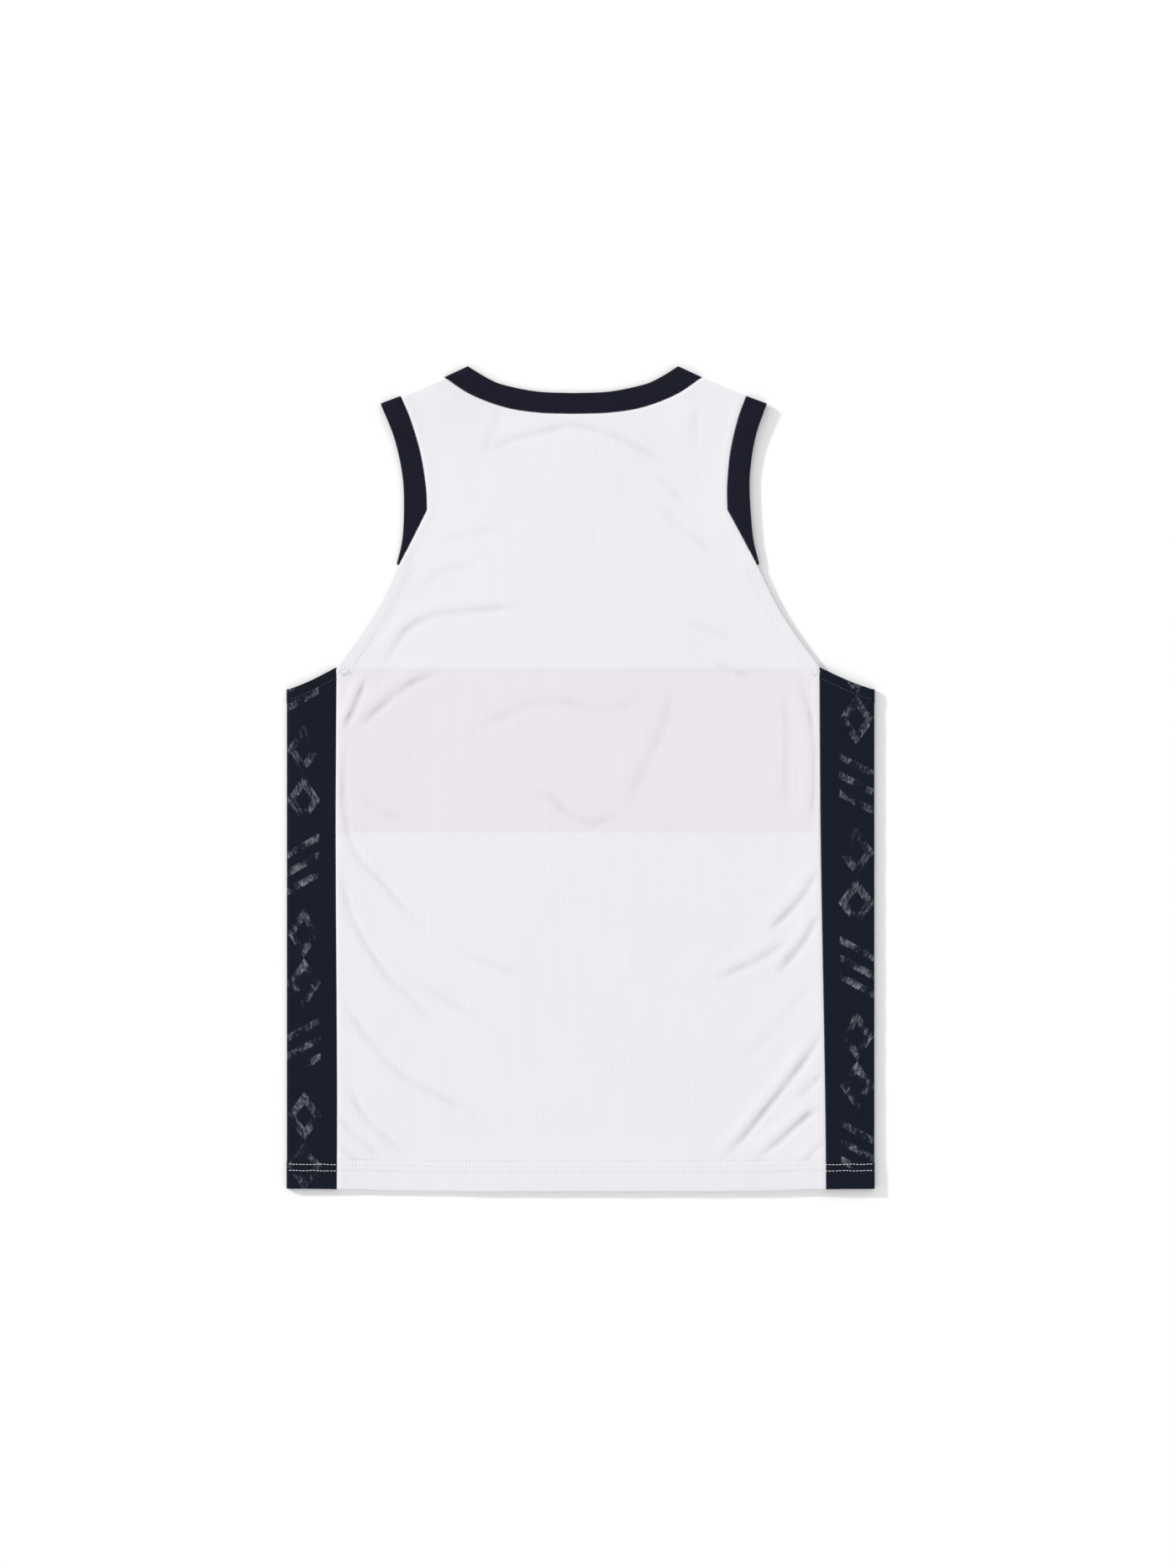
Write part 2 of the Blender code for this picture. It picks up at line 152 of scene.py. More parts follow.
def shifted(line: Array, distance: float) -> Array:
    """Moves a line to the left of its run, with mitred corners.

    Args:
        line: Points of the line.
        distance: How far it moves.

    Returns:
        The moved points.
    """
    run = np.diff(line, axis=0)
    left = np.stack([-run[:, 1], run[:, 0]], axis=1) / np.linalg.norm(run, axis=1, keepdims=True)
    before, after = np.vstack([left[:1], left]), np.vstack([left, left[-1:]])
    return line + distance * (before + after) / (1 + (before * after).sum(axis=1, keepdims=True))


def step(value: Array, low: float, high: float) -> Array:
    """A smooth step from 0 at low to 1 at high."""
    t = np.clip((value - low) / (high - low), 0, 1)
    return t * t * (3 - 2 * t)


def bell(value: Array, wide: float) -> Array:
    """A bell curve of that half width, 1 at 0."""
    return np.exp(-np.minimum((value / wide) ** 2, LEVEL_TAIL))


def uneven(value: Array, wave: float, start: float) -> Array:
    """Makes a wave of uneven length and height.

    Args:
        value: Where to read it.
        wave: Its mean length.
        start: Where in its run it starts.

    Returns:
        Values between about -1 and 1.
    """
    turn = 2 * math.pi * value / wave
    swing = np.sin(0.37 * turn + 1.7 * start) + 0.6 * np.sin(0.83 * turn + 2.9 * start)
    return np.sin(turn + start + swing) * (0.65 + 0.35 * np.sin(0.21 * turn + 4.1 * start))


def refined(grid: Array, at: Array, axis: int) -> Array:
    """Reads a grid of points at fractional rows or columns.

    Args:
        grid: The grid, rows x columns x k.
        at: Row or column numbers, which need not be whole.
        axis: 0 for rows, 1 for columns.

    Returns:
        The grid with a row or column at each number.
    """
    low = np.clip(np.floor(at).astype(int), 0, grid.shape[axis] - 2)
    share = (at - low).reshape((-1, 1, 1) if axis == 0 else (1, -1, 1))
    return np.take(grid, low, axis) * (1 - share) + np.take(grid, low + 1, axis) * share


# ------------------------------------------------------------------------------------------ the cut


@dataclass(frozen=True)
class Cut:
    """Outlines of the right half: out from the centreline, up from the middle of the length."""

    hem: float = -385.0
    half_width: float = 274.25
    seam_at_hem: float = 228.2
    seam_at_armpit: float = 225.3
    armpit: float = 103.9
    band_top: float = 101.9
    band_low: float = -49.3
    lean_at_hem: float = 0.75
    waist_lean: float = -3.2
    waist: Point = (-360.0, 0.0)
    shoulder_lean: float = -4.7
    shoulders: Point = (205.0, 395.0)
    hem_lift: float = 2.4
    lifted_out: Point = (120.0, 262.0)
    lifted_up: float = 120.0
    rib_length: float = 112.0
    slant_length: float = 58.0
    turned_length: float = 113.0
    seam_gap: float = 0.4
    scoop: float = 10.0
    neck_point: Point = (98.9, 385.0)
    neck_seam_point: Point = (120.5, 374.8)
    shoulder_seam_point: Point = (161.4, 357.5)
    shoulder_tip: Point = (180.2, 350.4)
    rib_notch: Point = (140.2, 251.1)
    rib_end: Point = (167.1, 199.5)
    back_neck_edge: tuple[Point, ...] = ((80.5, 374.0), (64.8, 367.5), (33.4, 361.3), (0.0, 359.9))
    back_neck_seam: tuple[Point, ...] = ((96.2, 358.8), (64.8, 346.9), (33.4, 341.8), (0.0, 340.6))
    front_neck_edge: tuple[Point, ...] = ((60.0, 320.0), (0.0, 236.6))
    front_neck_seam: tuple[Point, ...] = ((77.0, 305.0), (0.0, 200.0))
    rib_edge: tuple[Point, ...] = (
        (168.8, 319.8), (162.6, 288.4), (161.3, 262.0), (163.3, 225.6), (168.5, 200.3)
    )
    rib_seam: tuple[Point, ...] = ((152.7, 335.5), (144.5, 304.1), (140.6, 272.7))
    armhole_hem: tuple[Point, ...] = ((185.1, 162.8), (203.0, 134.5))
    side_top: tuple[Point, ...] = ((242.9, 95.2), (257.0, 88.9), (274.25, 82.6))

    def seam_out(self, up: Array) -> Array:
        """Centre to a side seam, at heights up the body."""
        return np.interp(up, [self.hem, self.armpit], [self.seam_at_hem, self.seam_at_armpit])

    def lean(self, up: Array) -> Array:
        """How far the centreline lies from X = 0, at heights up the body."""
        waist, shoulders = step(up, *self.waist), step(up, *self.shoulders)
        return self.lean_at_hem + self.waist_lean * waist + self.shoulder_lean * shoulders

    def lifted(self, out: Array, up: Array) -> Array:
        """How far up a point lies from its place in the cut, as the hem's ends are drawn up a little."""
        ends = step(np.abs(out), *self.lifted_out)
        return self.hem_lift * ends * (1 - step(up - self.hem, 0, self.lifted_up))

    def laid(self, points: Array, side: Side = Side.RIGHT) -> Array:
        """Points of the right half's cut on a side of the body, moved with its lean."""
        out, up = points[..., 0], points[..., 1]
        return np.stack([side.value * out + self.lean(up), up + self.lifted(out, up)], axis=-1)

    def outward(self) -> Array:
        """The direction out across the right shoulder line."""
        along = np.subtract(self.shoulder_tip, self.neck_point)
        return np.array([-along[1], along[0]]) / np.linalg.norm(along)

    def scooped(self, line: Array, layer: Layer) -> Array:
        """Moves a line of the back armhole in to the front's, which is cut further in.

        Args:
            line: Points of the back armhole.
            layer: The layer that the line is for.

        Returns:
            The moved points, or the same ones for the back.
        """
        if layer is Layer.BACK:
            return line
        share = np.clip((line[:, 1] - self.armpit) / (self.shoulder_tip[1] - self.armpit), 0, 1)
        return line - np.stack([self.scoop * np.sin(math.pi * share), np.zeros(len(line))], axis=1)

    def rib_line(self, pitch: float) -> Array:
        """Draws the armhole rib's seam from the shoulder down to its notch, and out along its slant.

        Args:
            pitch: Length of a step.

        Returns:
            Its points.
        """
        points = (self.shoulder_seam_point, *self.rib_seam, self.rib_notch)
        down = curve(points, round(self.rib_length / pitch))
        return joined(down, curve([self.rib_notch, self.rib_end], round(self.slant_length / pitch)))

    def hem_line(self, pitch: float) -> Array:
        """The lower armhole's turned edge, from the rib's end down to the armpit."""
        points = (self.rib_end, *self.armhole_hem, (self.seam_at_armpit, self.armpit))
        return curve(points, round(self.turned_length / pitch))

    def side_edge(self, levels: Array, pitch: float, layer: Layer) -> Array:
        """Draws the right edge of a body panel.

        Args:
            levels: Heights of the rows on the side seam, from the lowest to the armpit.
            pitch: Length of a step on the armhole.
            layer: The layer that the panel is in.

        Returns:
            Points from the lowest level up to the shoulder.
        """
        armhole = self.scooped(joined(self.rib_line(pitch), self.hem_line(pitch)), layer)
        seam = np.stack([self.seam_out(levels), levels], axis=1)[::-1]
        return shifted(joined(armhole, seam), -self.seam_gap / 2)[::-1]

    def neck_seam(self, layer: Layer, cells: int, shift: float) -> Array:
        """Draws the right half of a neck seam.

        Args:
            layer: The back's scoop or the front's V.
            cells: How many steps it has.
            shift: How far it is moved towards the panel.

        Returns:
            Points from the shoulder to the centre.
        """
        rest = self.back_neck_seam if layer is Layer.BACK else self.front_neck_seam
        half = curve((self.neck_seam_point, *rest), cells)
        return shifted(joined(half, mirrored(half)[::-1]), shift)[: cells + 1]

    def neck_edge(self, layer: Layer, cells: int) -> Array:
        """The right half of the neck rib's free edge, from the shoulder to the centre."""
        rest = self.back_neck_edge if layer is Layer.BACK else self.front_neck_edge
        return curve((self.neck_point, *rest), cells)


CUT = Cut()


@dataclass(frozen=True)
class Hem:
    """A turned hem: a doubled strip with a ditch under each row of stitches.

    Attributes:
        ends: Where the doubled cloth starts and stops thinning out, from the hem's fold.
        rows: How far the ditches lie from the fold.
        depth: How deep they are.
        ditch: Their half width.
    """

    ends: Point
    rows: tuple[float, ...]
    depth: float = 0.30
    ditch: float = 0.8

    def doubled(self, away: Array) -> Array:
        """How double the cloth is, from 0 to 1, at distances from the fold."""
        return 1 - step(away, *self.ends)

    def ditches(self, away: Array) -> Array:
        """The ditches' relief at distances from the fold."""
        return -self.depth * sum(bell(away - row, self.ditch) for row in self.rows)


BOTTOM_HEM = Hem((23.8, 25.2), (17.2, 23.2), 0.32)
ARMHOLE_HEM = Hem((12.4, 13.6), (11.0,))
SIDE_TOP_HEM = Hem((11.6, 12.8), (9.4,))
SIDE_TOP_STITCHES = 9.6  # from the fold, a little past the ditch's middle


# ------------------------------------------------------------------------------- how the cloth lies


CREST_WAY = (-0.82, 0.57)  # the way from a crease that its higher crest lies
CREST_AT, CREST_WIDE = 2.3, 1.7  # in the crease's half widths
CREST_UNEVEN = 0.45
CREASE_HEIGHT, CREASE_DIP, CREASE_WIDE = 0.30, 0.7, 0.9
CREASE_REACH = 6.0
FOLD_CELLS = 48
FOLD_FADE = 0.3  # share of its length over which a fold fades at each end


@dataclass(frozen=True)
class Fold:
    """A narrow crease in the cloth, with a soft crest beside it.

    Attributes:
        path: Points that it runs through.
        width: Half width of the crease.
        depth: How strong it is, about its height in millimetres.
    """

    path: tuple[Point, ...]
    width: float
    depth: float

    def find(self, x: Array, y: Array) -> tuple[Array, Array, Array, Array]:
        """Finds where points lie on the fold.

        Args:
            x: X of the points.
            y: Y of the points.

        Returns:
            Which points are near it, and for those their distance to the left of its run, how strong the
            fold is there, and how far its left is the side that crests stand on, from -1 to 1.
        """
        line = curve(self.path, FOLD_CELLS)
        reach = CREASE_REACH + 5.0 * self.width
        low, high = line.min(0) - reach, line.max(0) + reach
        close = (x > low[0]) & (x < high[0]) & (y > low[1]) & (y < high[1])
        away = np.stack([x[close], y[close]], axis=-1)[:, None, :] - line
        nearest = np.argmin((away**2).sum(-1), axis=-1)
        run = np.gradient(line, axis=0)
        pace = np.linalg.norm(run, axis=1, keepdims=True)
        run = run / pace
        off = np.take_along_axis(away, nearest[:, None, None], axis=1)[:, 0]
        along = run[nearest]
        side = along[:, 0] * off[:, 1] - along[:, 1] * off[:, 0]
        share = (nearest + (along * off).sum(-1) / pace[nearest, 0]) / (len(line) - 1)
        fade = step(share, 0, FOLD_FADE) * step(1 - share, 0, FOLD_FADE)
        fade = fade * (1 + 0.22 * uneven(share, 0.41, self.width))
        crested = along[:, 0] * CREST_WAY[1] - along[:, 1] * CREST_WAY[0]
        return close, side, self.depth * fade, crested

    def relief(self, x: Array, y: Array) -> Array:
        """Works out the height that the fold adds.

        Args:
            x: X of the points.
            y: Y of the points.

        Returns:
            A height for each point.
        """
        out = np.zeros(x.shape)
        close, side, strong, crested = self.find(x, y)
        at = side / self.width
        crests = (0.5 + CREST_UNEVEN * crested) * bell(at - CREST_AT, CREST_WIDE)
        crests = crests + (0.5 - CREST_UNEVEN * crested) * bell(at + CREST_AT, CREST_WIDE)
        out[close] = CREASE_HEIGHT * strong * (crests - CREASE_DIP * bell(at, CREASE_WIDE))
        return out


BACK_FOLDS = (
    Fold(((-104, 296), (-66, 315), (-36, 323), (-8, 329), (20, 324), (50, 311), (101, 282)), 4.0, 1.3),
    Fold(((70, 285), (82, 273), (102, 256)), 4.0, 0.8),
    Fold(((-72, 350), (-82, 322), (-93, 298)), 4.0, 0.6),
    Fold(((111, 352), (107, 330), (111, 306)), 5.0, 0.6),
    Fold(((-140, 371), (-122, 362), (-104, 350)), 4.0, 0.6),
    Fold(((-150, 178), (-127, 193), (-92, 201)), 4.0, 0.7),
    Fold(((-136, 220), (-100, 229), (-62, 233)), 5.0, 0.5),
    Fold(((66, 262), (93, 236), (112, 221), (136, 202)), 4.5, 0.8),
    Fold(((-186, 99), (-175, 120), (-162, 138), (-144, 149), (-117, 155), (-81, 158), (-40, 160)), 4.0, 1.9),
    Fold(((-212, 41), (-191, 62), (-170, 80), (-150, 92), (-122, 99)), 4.0, 2.1),
    Fold(((-222, 42), (-209, 70), (-198, 98)), 2.6, 3.2),
    Fold(
        ((-219, 50), (-221, 4), (-219, -37), (-208, -72), (-182, -100), (-162, -123), (-126, -153)),
        3.2,
        1.8,
    ),
    Fold(((-126, -153), (-91, -171), (-44, -188)), 4.0, 0.9),
    Fold(((-228, -74), (-215, -123), (-200, -155), (-177, -188), (-160, -203), (-130, -239)), 3.6, 1.7),
    Fold(((-164, -178), (-132, -203), (-78, -235)), 4.5, 0.9),
    Fold(
        ((-230, -190), (-208, -229), (-182, -262), (-157, -284), (-132, -297), (-107, -310), (-70, -337)),
        4.2,
        1.5,
    ),
    Fold(((-220, -281), (-202, -314), (-181, -336), (-155, -357)), 3.4, 1.6),
    Fold(((-231, -312), (-209, -334), (-181, -358)), 3.0, 2.0),
    Fold(((-228, -343), (-217, -350), (-204, -358)), 2.6, 1.5),
    Fold(((-112, 42), (-81, 54), (-51, 67), (-21, 72), (10, 65), (40, 66), (76, 88)), 6.0, 0.9),
    Fold(((90, 100), (80, 54), (65, 19), (50, -11), (38, -34)), 6.0, 0.9),
    Fold(((44, -30), (15, -42), (-8, -35), (-26, -19), (-52, -8)), 5.0, 1.4),
    Fold(((-213, -8), (-186, -30), (-155, -42)), 4.5, 0.9),
    Fold(((95, 147), (121, 138), (152, 126)), 4.5, 0.8),
    Fold(((124, 107), (142, 101), (162, 92)), 4.0, 1.7),
    Fold(((188, 97), (193, 44), (192, -44)), 4.0, 0.7),
    Fold(((198, 101), (214, 64), (219, 14), (216, -54)), 3.0, 1.7),
    Fold(((227, -79), (205, -113), (171, -148)), 3.6, 2.3),
    Fold(((226, -121), (207, -155), (180, -186)), 3.6, 2.4),
    Fold(((198, -150), (161, -172), (120, -190)), 3.8, 2.0),
    Fold(((228, -179), (202, -209), (171, -246), (136, -272)), 5.0, 0.6),
    Fold(((229, -229), (215, -255), (193, -285), (172, -311), (152, -336), (125, -363)), 3.4, 3.6),
    Fold(((229, -306), (215, -313), (203, -323), (183, -341), (161, -358)), 3.4, 3.1),
    Fold(((228, -274), (216, -286), (202, -301)), 3.0, 1.4),
    Fold(((230, -337), (220, -347), (207, -360)), 3.0, 1.3),
)
SIDE_FOLDS = (
    Fold(((-271, 62), (-256, 66), (-236, 72)), 3.5, 1.6),
    Fold(((-272, -52), (-252, -44), (-236, -28)), 4.0, 1.3),
    Fold(((-270, -186), (-254, -176), (-236, -160)), 4.5, 1.3),
    Fold(((-271, -306), (-252, -292), (-234, -284)), 4.0, 1.4),
    Fold(((271, 48), (254, 44), (238, 28)), 3.5, 1.5),
    Fold(((272, -76), (256, -88), (236, -92)), 4.0, 1.3),
    Fold(((270, -214), (256, -226), (238, -232)), 4.5, 1.5),
    Fold(((271, -318), (254, -326), (238, -332)), 4.0, 1.3),
)
FRONT_FOLDS = (
    Fold(((-150, 60), (-90, 96), (-20, 112), (60, 96)), 6.0, 1.5),
    Fold(((190, 140), (150, 90), (128, 20), (126, -60)), 6.5, 1.7),
    Fold(((-204, -30), (-150, -80), (-70, -108)), 6.5, 1.7),
    Fold(((-60, -150), (20, -176), (110, -160), (170, -120)), 7.0, 1.5),
    Fold(((206, -210), (140, -262), (80, -330)), 6.5, 1.7),
    Fold(((-210, -230), (-160, -290), (-84, -336)), 6.5, 1.7),
    Fold(((-20, -250), (10, -300), (4, -352)), 6.0, 1.3),
    Fold(((-120, 210), (-100, 270), (-116, 330)), 5.0, 1.3),
    Fold(((118, 190), (96, 260), (112, 330)), 5.0, 1.3),
    Fold(((-60, 130), (0, 150), (70, 140)), 5.5, 1.3),
)


@dataclass(frozen=True)
class Lie:
    """Heights of the two layers' middle surfaces over the surface that the jersey lies on.

    Each loft lifts the upper layer. The pairs after it say where it comes in and where it ends. armhole_up is
    the middle and half width of a bell curve, and shoulder_deep the half width of another.
    """

    wall: float = 1.2
    double: float = 1.8
    lowest: float = 3.0
    blend: float = 0.8
    round: float = 2.0
    side_loft: float = 1.5
    side_in: Point = (140, 250)
    right_loft: float = 0.9
    right_in: Point = (190, 268)
    armhole_loft: float = 1.3
    armhole_up: Point = (250, 62)
    armhole_in: Point = (105, 160)
    armhole_end: Point = (180, 200)
    hem_loft: float = 1.6
    hem_down: Point = (330, 384)
    hem_in: Point = (-190, -40)
    hem_end: Point = (150, 230)
    shoulder_loft: float = 2.8
    shoulder_deep: float = 45
    shoulder_in: Point = (60, 110)
    pucker: float = 0.16
    pucker_end: Point = (84, 100)
    swell: float = 0.10

    def thickness(self, double: Array) -> Array:
        """Thickness of the cloth where it is doubled by that much, from 0 to 1."""
        return self.wall + (self.double - self.wall) * double

    def upper(self, points: Array) -> Array:
        """Works out the upper layer's height.

        Args:
            points: X and Y of points of the laid-out body.

        Returns:
            A height for each point.
        """
        x, y = points[..., 0], points[..., 1]
        out = np.abs(x - CUT.lean(y))
        inward = -(np.stack([out - CUT.neck_point[0], y - CUT.neck_point[1]], axis=-1) @ CUT.outward())
        height = self.lowest + self.blend / 2 + self.side_loft * step(out, *self.side_in)
        height = height + self.right_loft * step(x, *self.right_in)
        armhole = bell(y - self.armhole_up[0], self.armhole_up[1]) * step(x, *self.armhole_in)
        height = height + self.armhole_loft * armhole * (1 - step(x, *self.armhole_end))
        hem = step(-y, *self.hem_down) * step(x, *self.hem_in) * (1 - 0.5 * step(x, *self.hem_end))
        height = height + self.hem_loft * hem
        shoulder = bell(inward, self.shoulder_deep) * step(out, *self.shoulder_in)
        height = height + self.shoulder_loft * shoulder
        for fold in BACK_FOLDS + SIDE_FOLDS:
            height = height + fold.relief(x, y)
        seam = np.abs(out - CUT.seam_out(y))
        low = 1 - step(y, *self.pucker_end)
        height = height + low * bell(seam, 8) * self.pucker * uneven(y, 13, np.sign(x))
        height = height + self.swell * uneven(x + 0.4 * y, 47, 0.3) * uneven(y - 0.2 * x, 61, 1.1)
        over = height - self.lowest
        return self.lowest + (over + np.sqrt(over**2 + self.blend**2)) / 2

    def creases(self, points: Array) -> Array:
        """Finds the creases near each point, which the white mesh's finish reads to paint shade along them.

        Args:
            points: X and Y of points of the laid-out body.

        Returns:
            For each point its distance from the bottom of the nearest crease in half widths, how strong that
            crease is where it runs alone, and how strong the creases are together where several meet.
        """
        x, y = points[..., 0], points[..., 1]
        found = np.zeros((*x.shape, 3))
        best, total, spread = np.zeros(x.shape), np.zeros(x.shape), np.zeros(x.shape)
        for fold in BACK_FOLDS:
            close, side, strong, _ = fold.find(x, y)
            off, wide = np.abs(side), fold.width
            near = strong * (1 - step(off, 1.3 * wide + 1.5, 1.3 * wide + 4.5))
            far = strong * (1 - step(off, 3 * wide + 2, 3 * wide + CREASE_REACH))
            weight = near * bell(side, 2 * wide)
            won = (weight > best[close])[:, None]
            values = np.stack([side / (1.05 * wide + 1.2), near, far], axis=-1)
            found[close] = np.where(won, values, found[close])
            best[close] = np.maximum(weight, best[close])
            total[close] += far
            spread[close] += near * bell(side, 0.8 * wide + 1.0)
        meeting = step(total - found[..., 2], 0.03, 0.25)
        return np.stack([found[..., 0], found[..., 1] * (1 - meeting), spread * meeting], axis=-1)

    def lower(self, points: Array, wall: float) -> Array:
        """Works out the lower layer's height: flat on the surface, with a few low ridges.

        Args:
            points: X and Y of points of the laid-out body.
            wall: Thickness of the cloth there.

        Returns:
            A height for each point.
        """
        height = np.full(points.shape[:-1], wall / 2)
        for fold in FRONT_FOLDS:
            height = height + np.maximum(fold.relief(points[..., 0], points[..., 1]), 0)
        return height


LIE = Lie()


# ------------------------------------------------------------------------------------------- meshes


@dataclass
class Shell:
    """A wall of cloth round a grid of middle points, closed all round and rounded at its rims.

    Attributes:
        name: Name of the piece.
        middle: Middle points, rows x columns x 3.
        wall: Thickness at each point, or one number.
        cut: Cut coordinates that the finish reads, rows x columns x 3.
        closed: Whether the last row joins the first.
        bulge: How far a rim stands out.
        crease: What Lie.creases says of each point, if the finish reads it to paint shade along the creases.
    """

    name: str
    middle: Array
    wall: Array | float
    cut: Array
    closed: bool = False
    bulge: float = 0.18
    crease: Array | None = None

    def normals(self) -> Array:
        """Finds which way the middle surface faces.

        Returns:
            Unit normals that point to its outer side.
        """
        grid = self.middle
        if self.closed:
            grid = np.concatenate([grid[-1:], grid, grid[:1]])
        along, across = np.gradient(grid, axis=0), np.gradient(grid, axis=1)
        found = unit(np.cross(across, along))
        return found[1:-1] if self.closed else found

    def rim_numbers(self) -> list[Array]:
        """Finds the open edges.

        Returns:
            Loops of grid point numbers round them, the interior on the left.
        """
        rows, columns = self.middle.shape[:2]
        number = np.arange(rows * columns).reshape(rows, columns)
        if self.closed:
            return [number[::-1, 0], number[:, -1]]
        return [np.concatenate([number[0, :-1], number[:-1, -1], number[-1, :0:-1], number[:0:-1, 0]])]

    def build(self) -> bpy.types.Object:
        """Makes the mesh and its object.

        Returns:
            The object, linked to the scene.
        """
        rows, columns = self.middle.shape[:2]
        flat, normal = self.middle.reshape(-1, 3), self.normals().reshape(-1, 3)
        half = (np.broadcast_to(self.wall, (rows, columns)).reshape(-1, 1)) / 2
        cut = self.cut.reshape(-1, 3)
        number = np.arange(rows * columns).reshape(rows, columns)
        if self.closed:
            number = np.vstack([number, number[:1]])
        leaf = quads(number)
        count = rows * columns
        points, cuts = [flat + normal * half, flat - normal * half], [cut, cut]
        faces = [leaf, leaf[:, ::-1] + count]
        start = 2 * count
        for loop in self.rim_numbers():
            tangent = flat[np.roll(loop, -1)] - flat[np.roll(loop, 1)]
            points.append(flat[loop] + unit(np.cross(tangent, normal[loop])) * self.bulge)
            cuts.append(cut[loop])
            rim = start + np.arange(len(loop))
            after = np.roll(rim, -1)
            following = np.roll(loop, -1)
            faces.append(np.stack([following, loop, rim, after], axis=1))
            faces.append(np.stack([after, rim, loop + count, following + count], axis=1))
            start += len(loop)
        piece = make_object(self.name, np.vstack(points), np.vstack(faces).tolist(), np.vstack(cuts))
        # The crease attribute carries where the finish paints shade along the creases.
        if self.crease is not None:
            creases = self.crease.reshape(-1, 3)
            creases = np.vstack([creases, creases, *[creases[loop] for loop in self.rim_numbers()]])
            made = piece.data.attributes.new("crease", "FLOAT_VECTOR", "POINT")
            made.data.foreach_set("vector", creases.ravel())
        return piece


def linked(name: str, data: bpy.types.ID) -> bpy.types.Object:
    """Adds an object to the scene.

    Args:
        name: Its name.
        data: Its mesh, lamp or camera.

    Returns:
        The object.
    """
    made = bpy.data.objects.new(name, data)
    bpy.context.scene.collection.objects.link(made)
    return made


def make_object(
    name: str, points: Array, faces: list[list[int]], cut: Array | None = None
) -> bpy.types.Object:
    """Makes an object of points in millimetres.

    Args:
        name: Its name.
        points: Its points, n x 3.
        faces: Point numbers of its faces.
        cut: Cut coordinates of the points, if its finish reads them.

    Returns:
        The object, linked to the scene.
    """
    mesh = bpy.data.meshes.new(name)
    mesh.from_pydata((points * MM).tolist(), [], faces)
    mesh.shade_smooth()
    if cut is not None:
        mesh.attributes.new("cut", "FLOAT_VECTOR", "POINT").data.foreach_set("vector", cut.ravel())
    return linked(name, mesh)


def distance(points: Array, targets: Array) -> Array:
    """Measures how far points are from the nearest of some others.

    Args:
        points: X and Y of points, in any grid.
        targets: X and Y of the others, n x 2.

    Returns:
        A distance for each point.
    """
    flat = points.reshape(-1, 2)
    found = np.full(len(flat), np.inf)
    for start in range(0, len(flat), 4000):
        part = flat[start : start + 4000, None] - targets[None]
        found[start : start + 4000] = np.sqrt((part**2).sum(-1).min(1))
    return found.reshape(points.shape[:-1])


# ------------------------------------------------------------------------------------- shader maths


class Value:
    """A shader socket that takes part in sums. Each sum adds a Math node to the socket's tree."""

    def __init__(self, socket: bpy.types.NodeSocket) -> None:
        """Wraps an output socket."""
        self.socket = socket

    def combine(self, operation: str, first: Value | float, second: Value | float) -> Value:
        """Adds a Math node.

        Args:
            operation: The node's operation.
            first: Its first term.
            second: Its second term.

        Returns:
            The node's result.
        """
        tree = self.socket.id_data
        node = tree.nodes.new("ShaderNodeMath")
        node.operation = operation
        for slot, term in zip(node.inputs, (first, second)):
            if isinstance(term, Value):
                tree.links.new(term.socket, slot)
            else:
                slot.default_value = term
        return Value(node.outputs[0])

    def __add__(self, other: Value | float) -> Value:
        """self + other."""
        return self.combine("ADD", self, other)

    def __radd__(self, other: float) -> Value:
        """other + self."""
        return self.combine("ADD", other, self)

    def __sub__(self, other: Value | float) -> Value:
        """self - other."""
        return self.combine("SUBTRACT", self, other)

    def __rsub__(self, other: float) -> Value:
        """other - self."""
        return self.combine("SUBTRACT", other, self)

    def __mul__(self, other: Value | float) -> Value:
        """self * other."""
        return self.combine("MULTIPLY", self, other)

    def __rmul__(self, other: float) -> Value:
        """other * self."""
        return self.combine("MULTIPLY", other, self)

    def __abs__(self) -> Value:
        """The size of self."""
        return self.combine("ABSOLUTE", self, 0.0)

    def __mod__(self, other: float) -> Value:
        """self within a repeat of that length, from 0 up."""
        return self.combine("FLOORED_MODULO", self, other)

    def __rmod__(self, other: float) -> Value:
        """other within a repeat of self's length."""
        return self.combine("FLOORED_MODULO", other, self)

    def larger(self, other: Value | float) -> Value:
        """The larger of the two."""
        return self.combine("MAXIMUM", self, other)

    def smaller(self, other: Value | float) -> Value:
        """The smaller of the two."""
        return self.combine("MINIMUM", self, other)

    def cosine(self) -> Value:
        """The cosine of self in radians."""
        return self.combine("COSINE", self, 0.0)


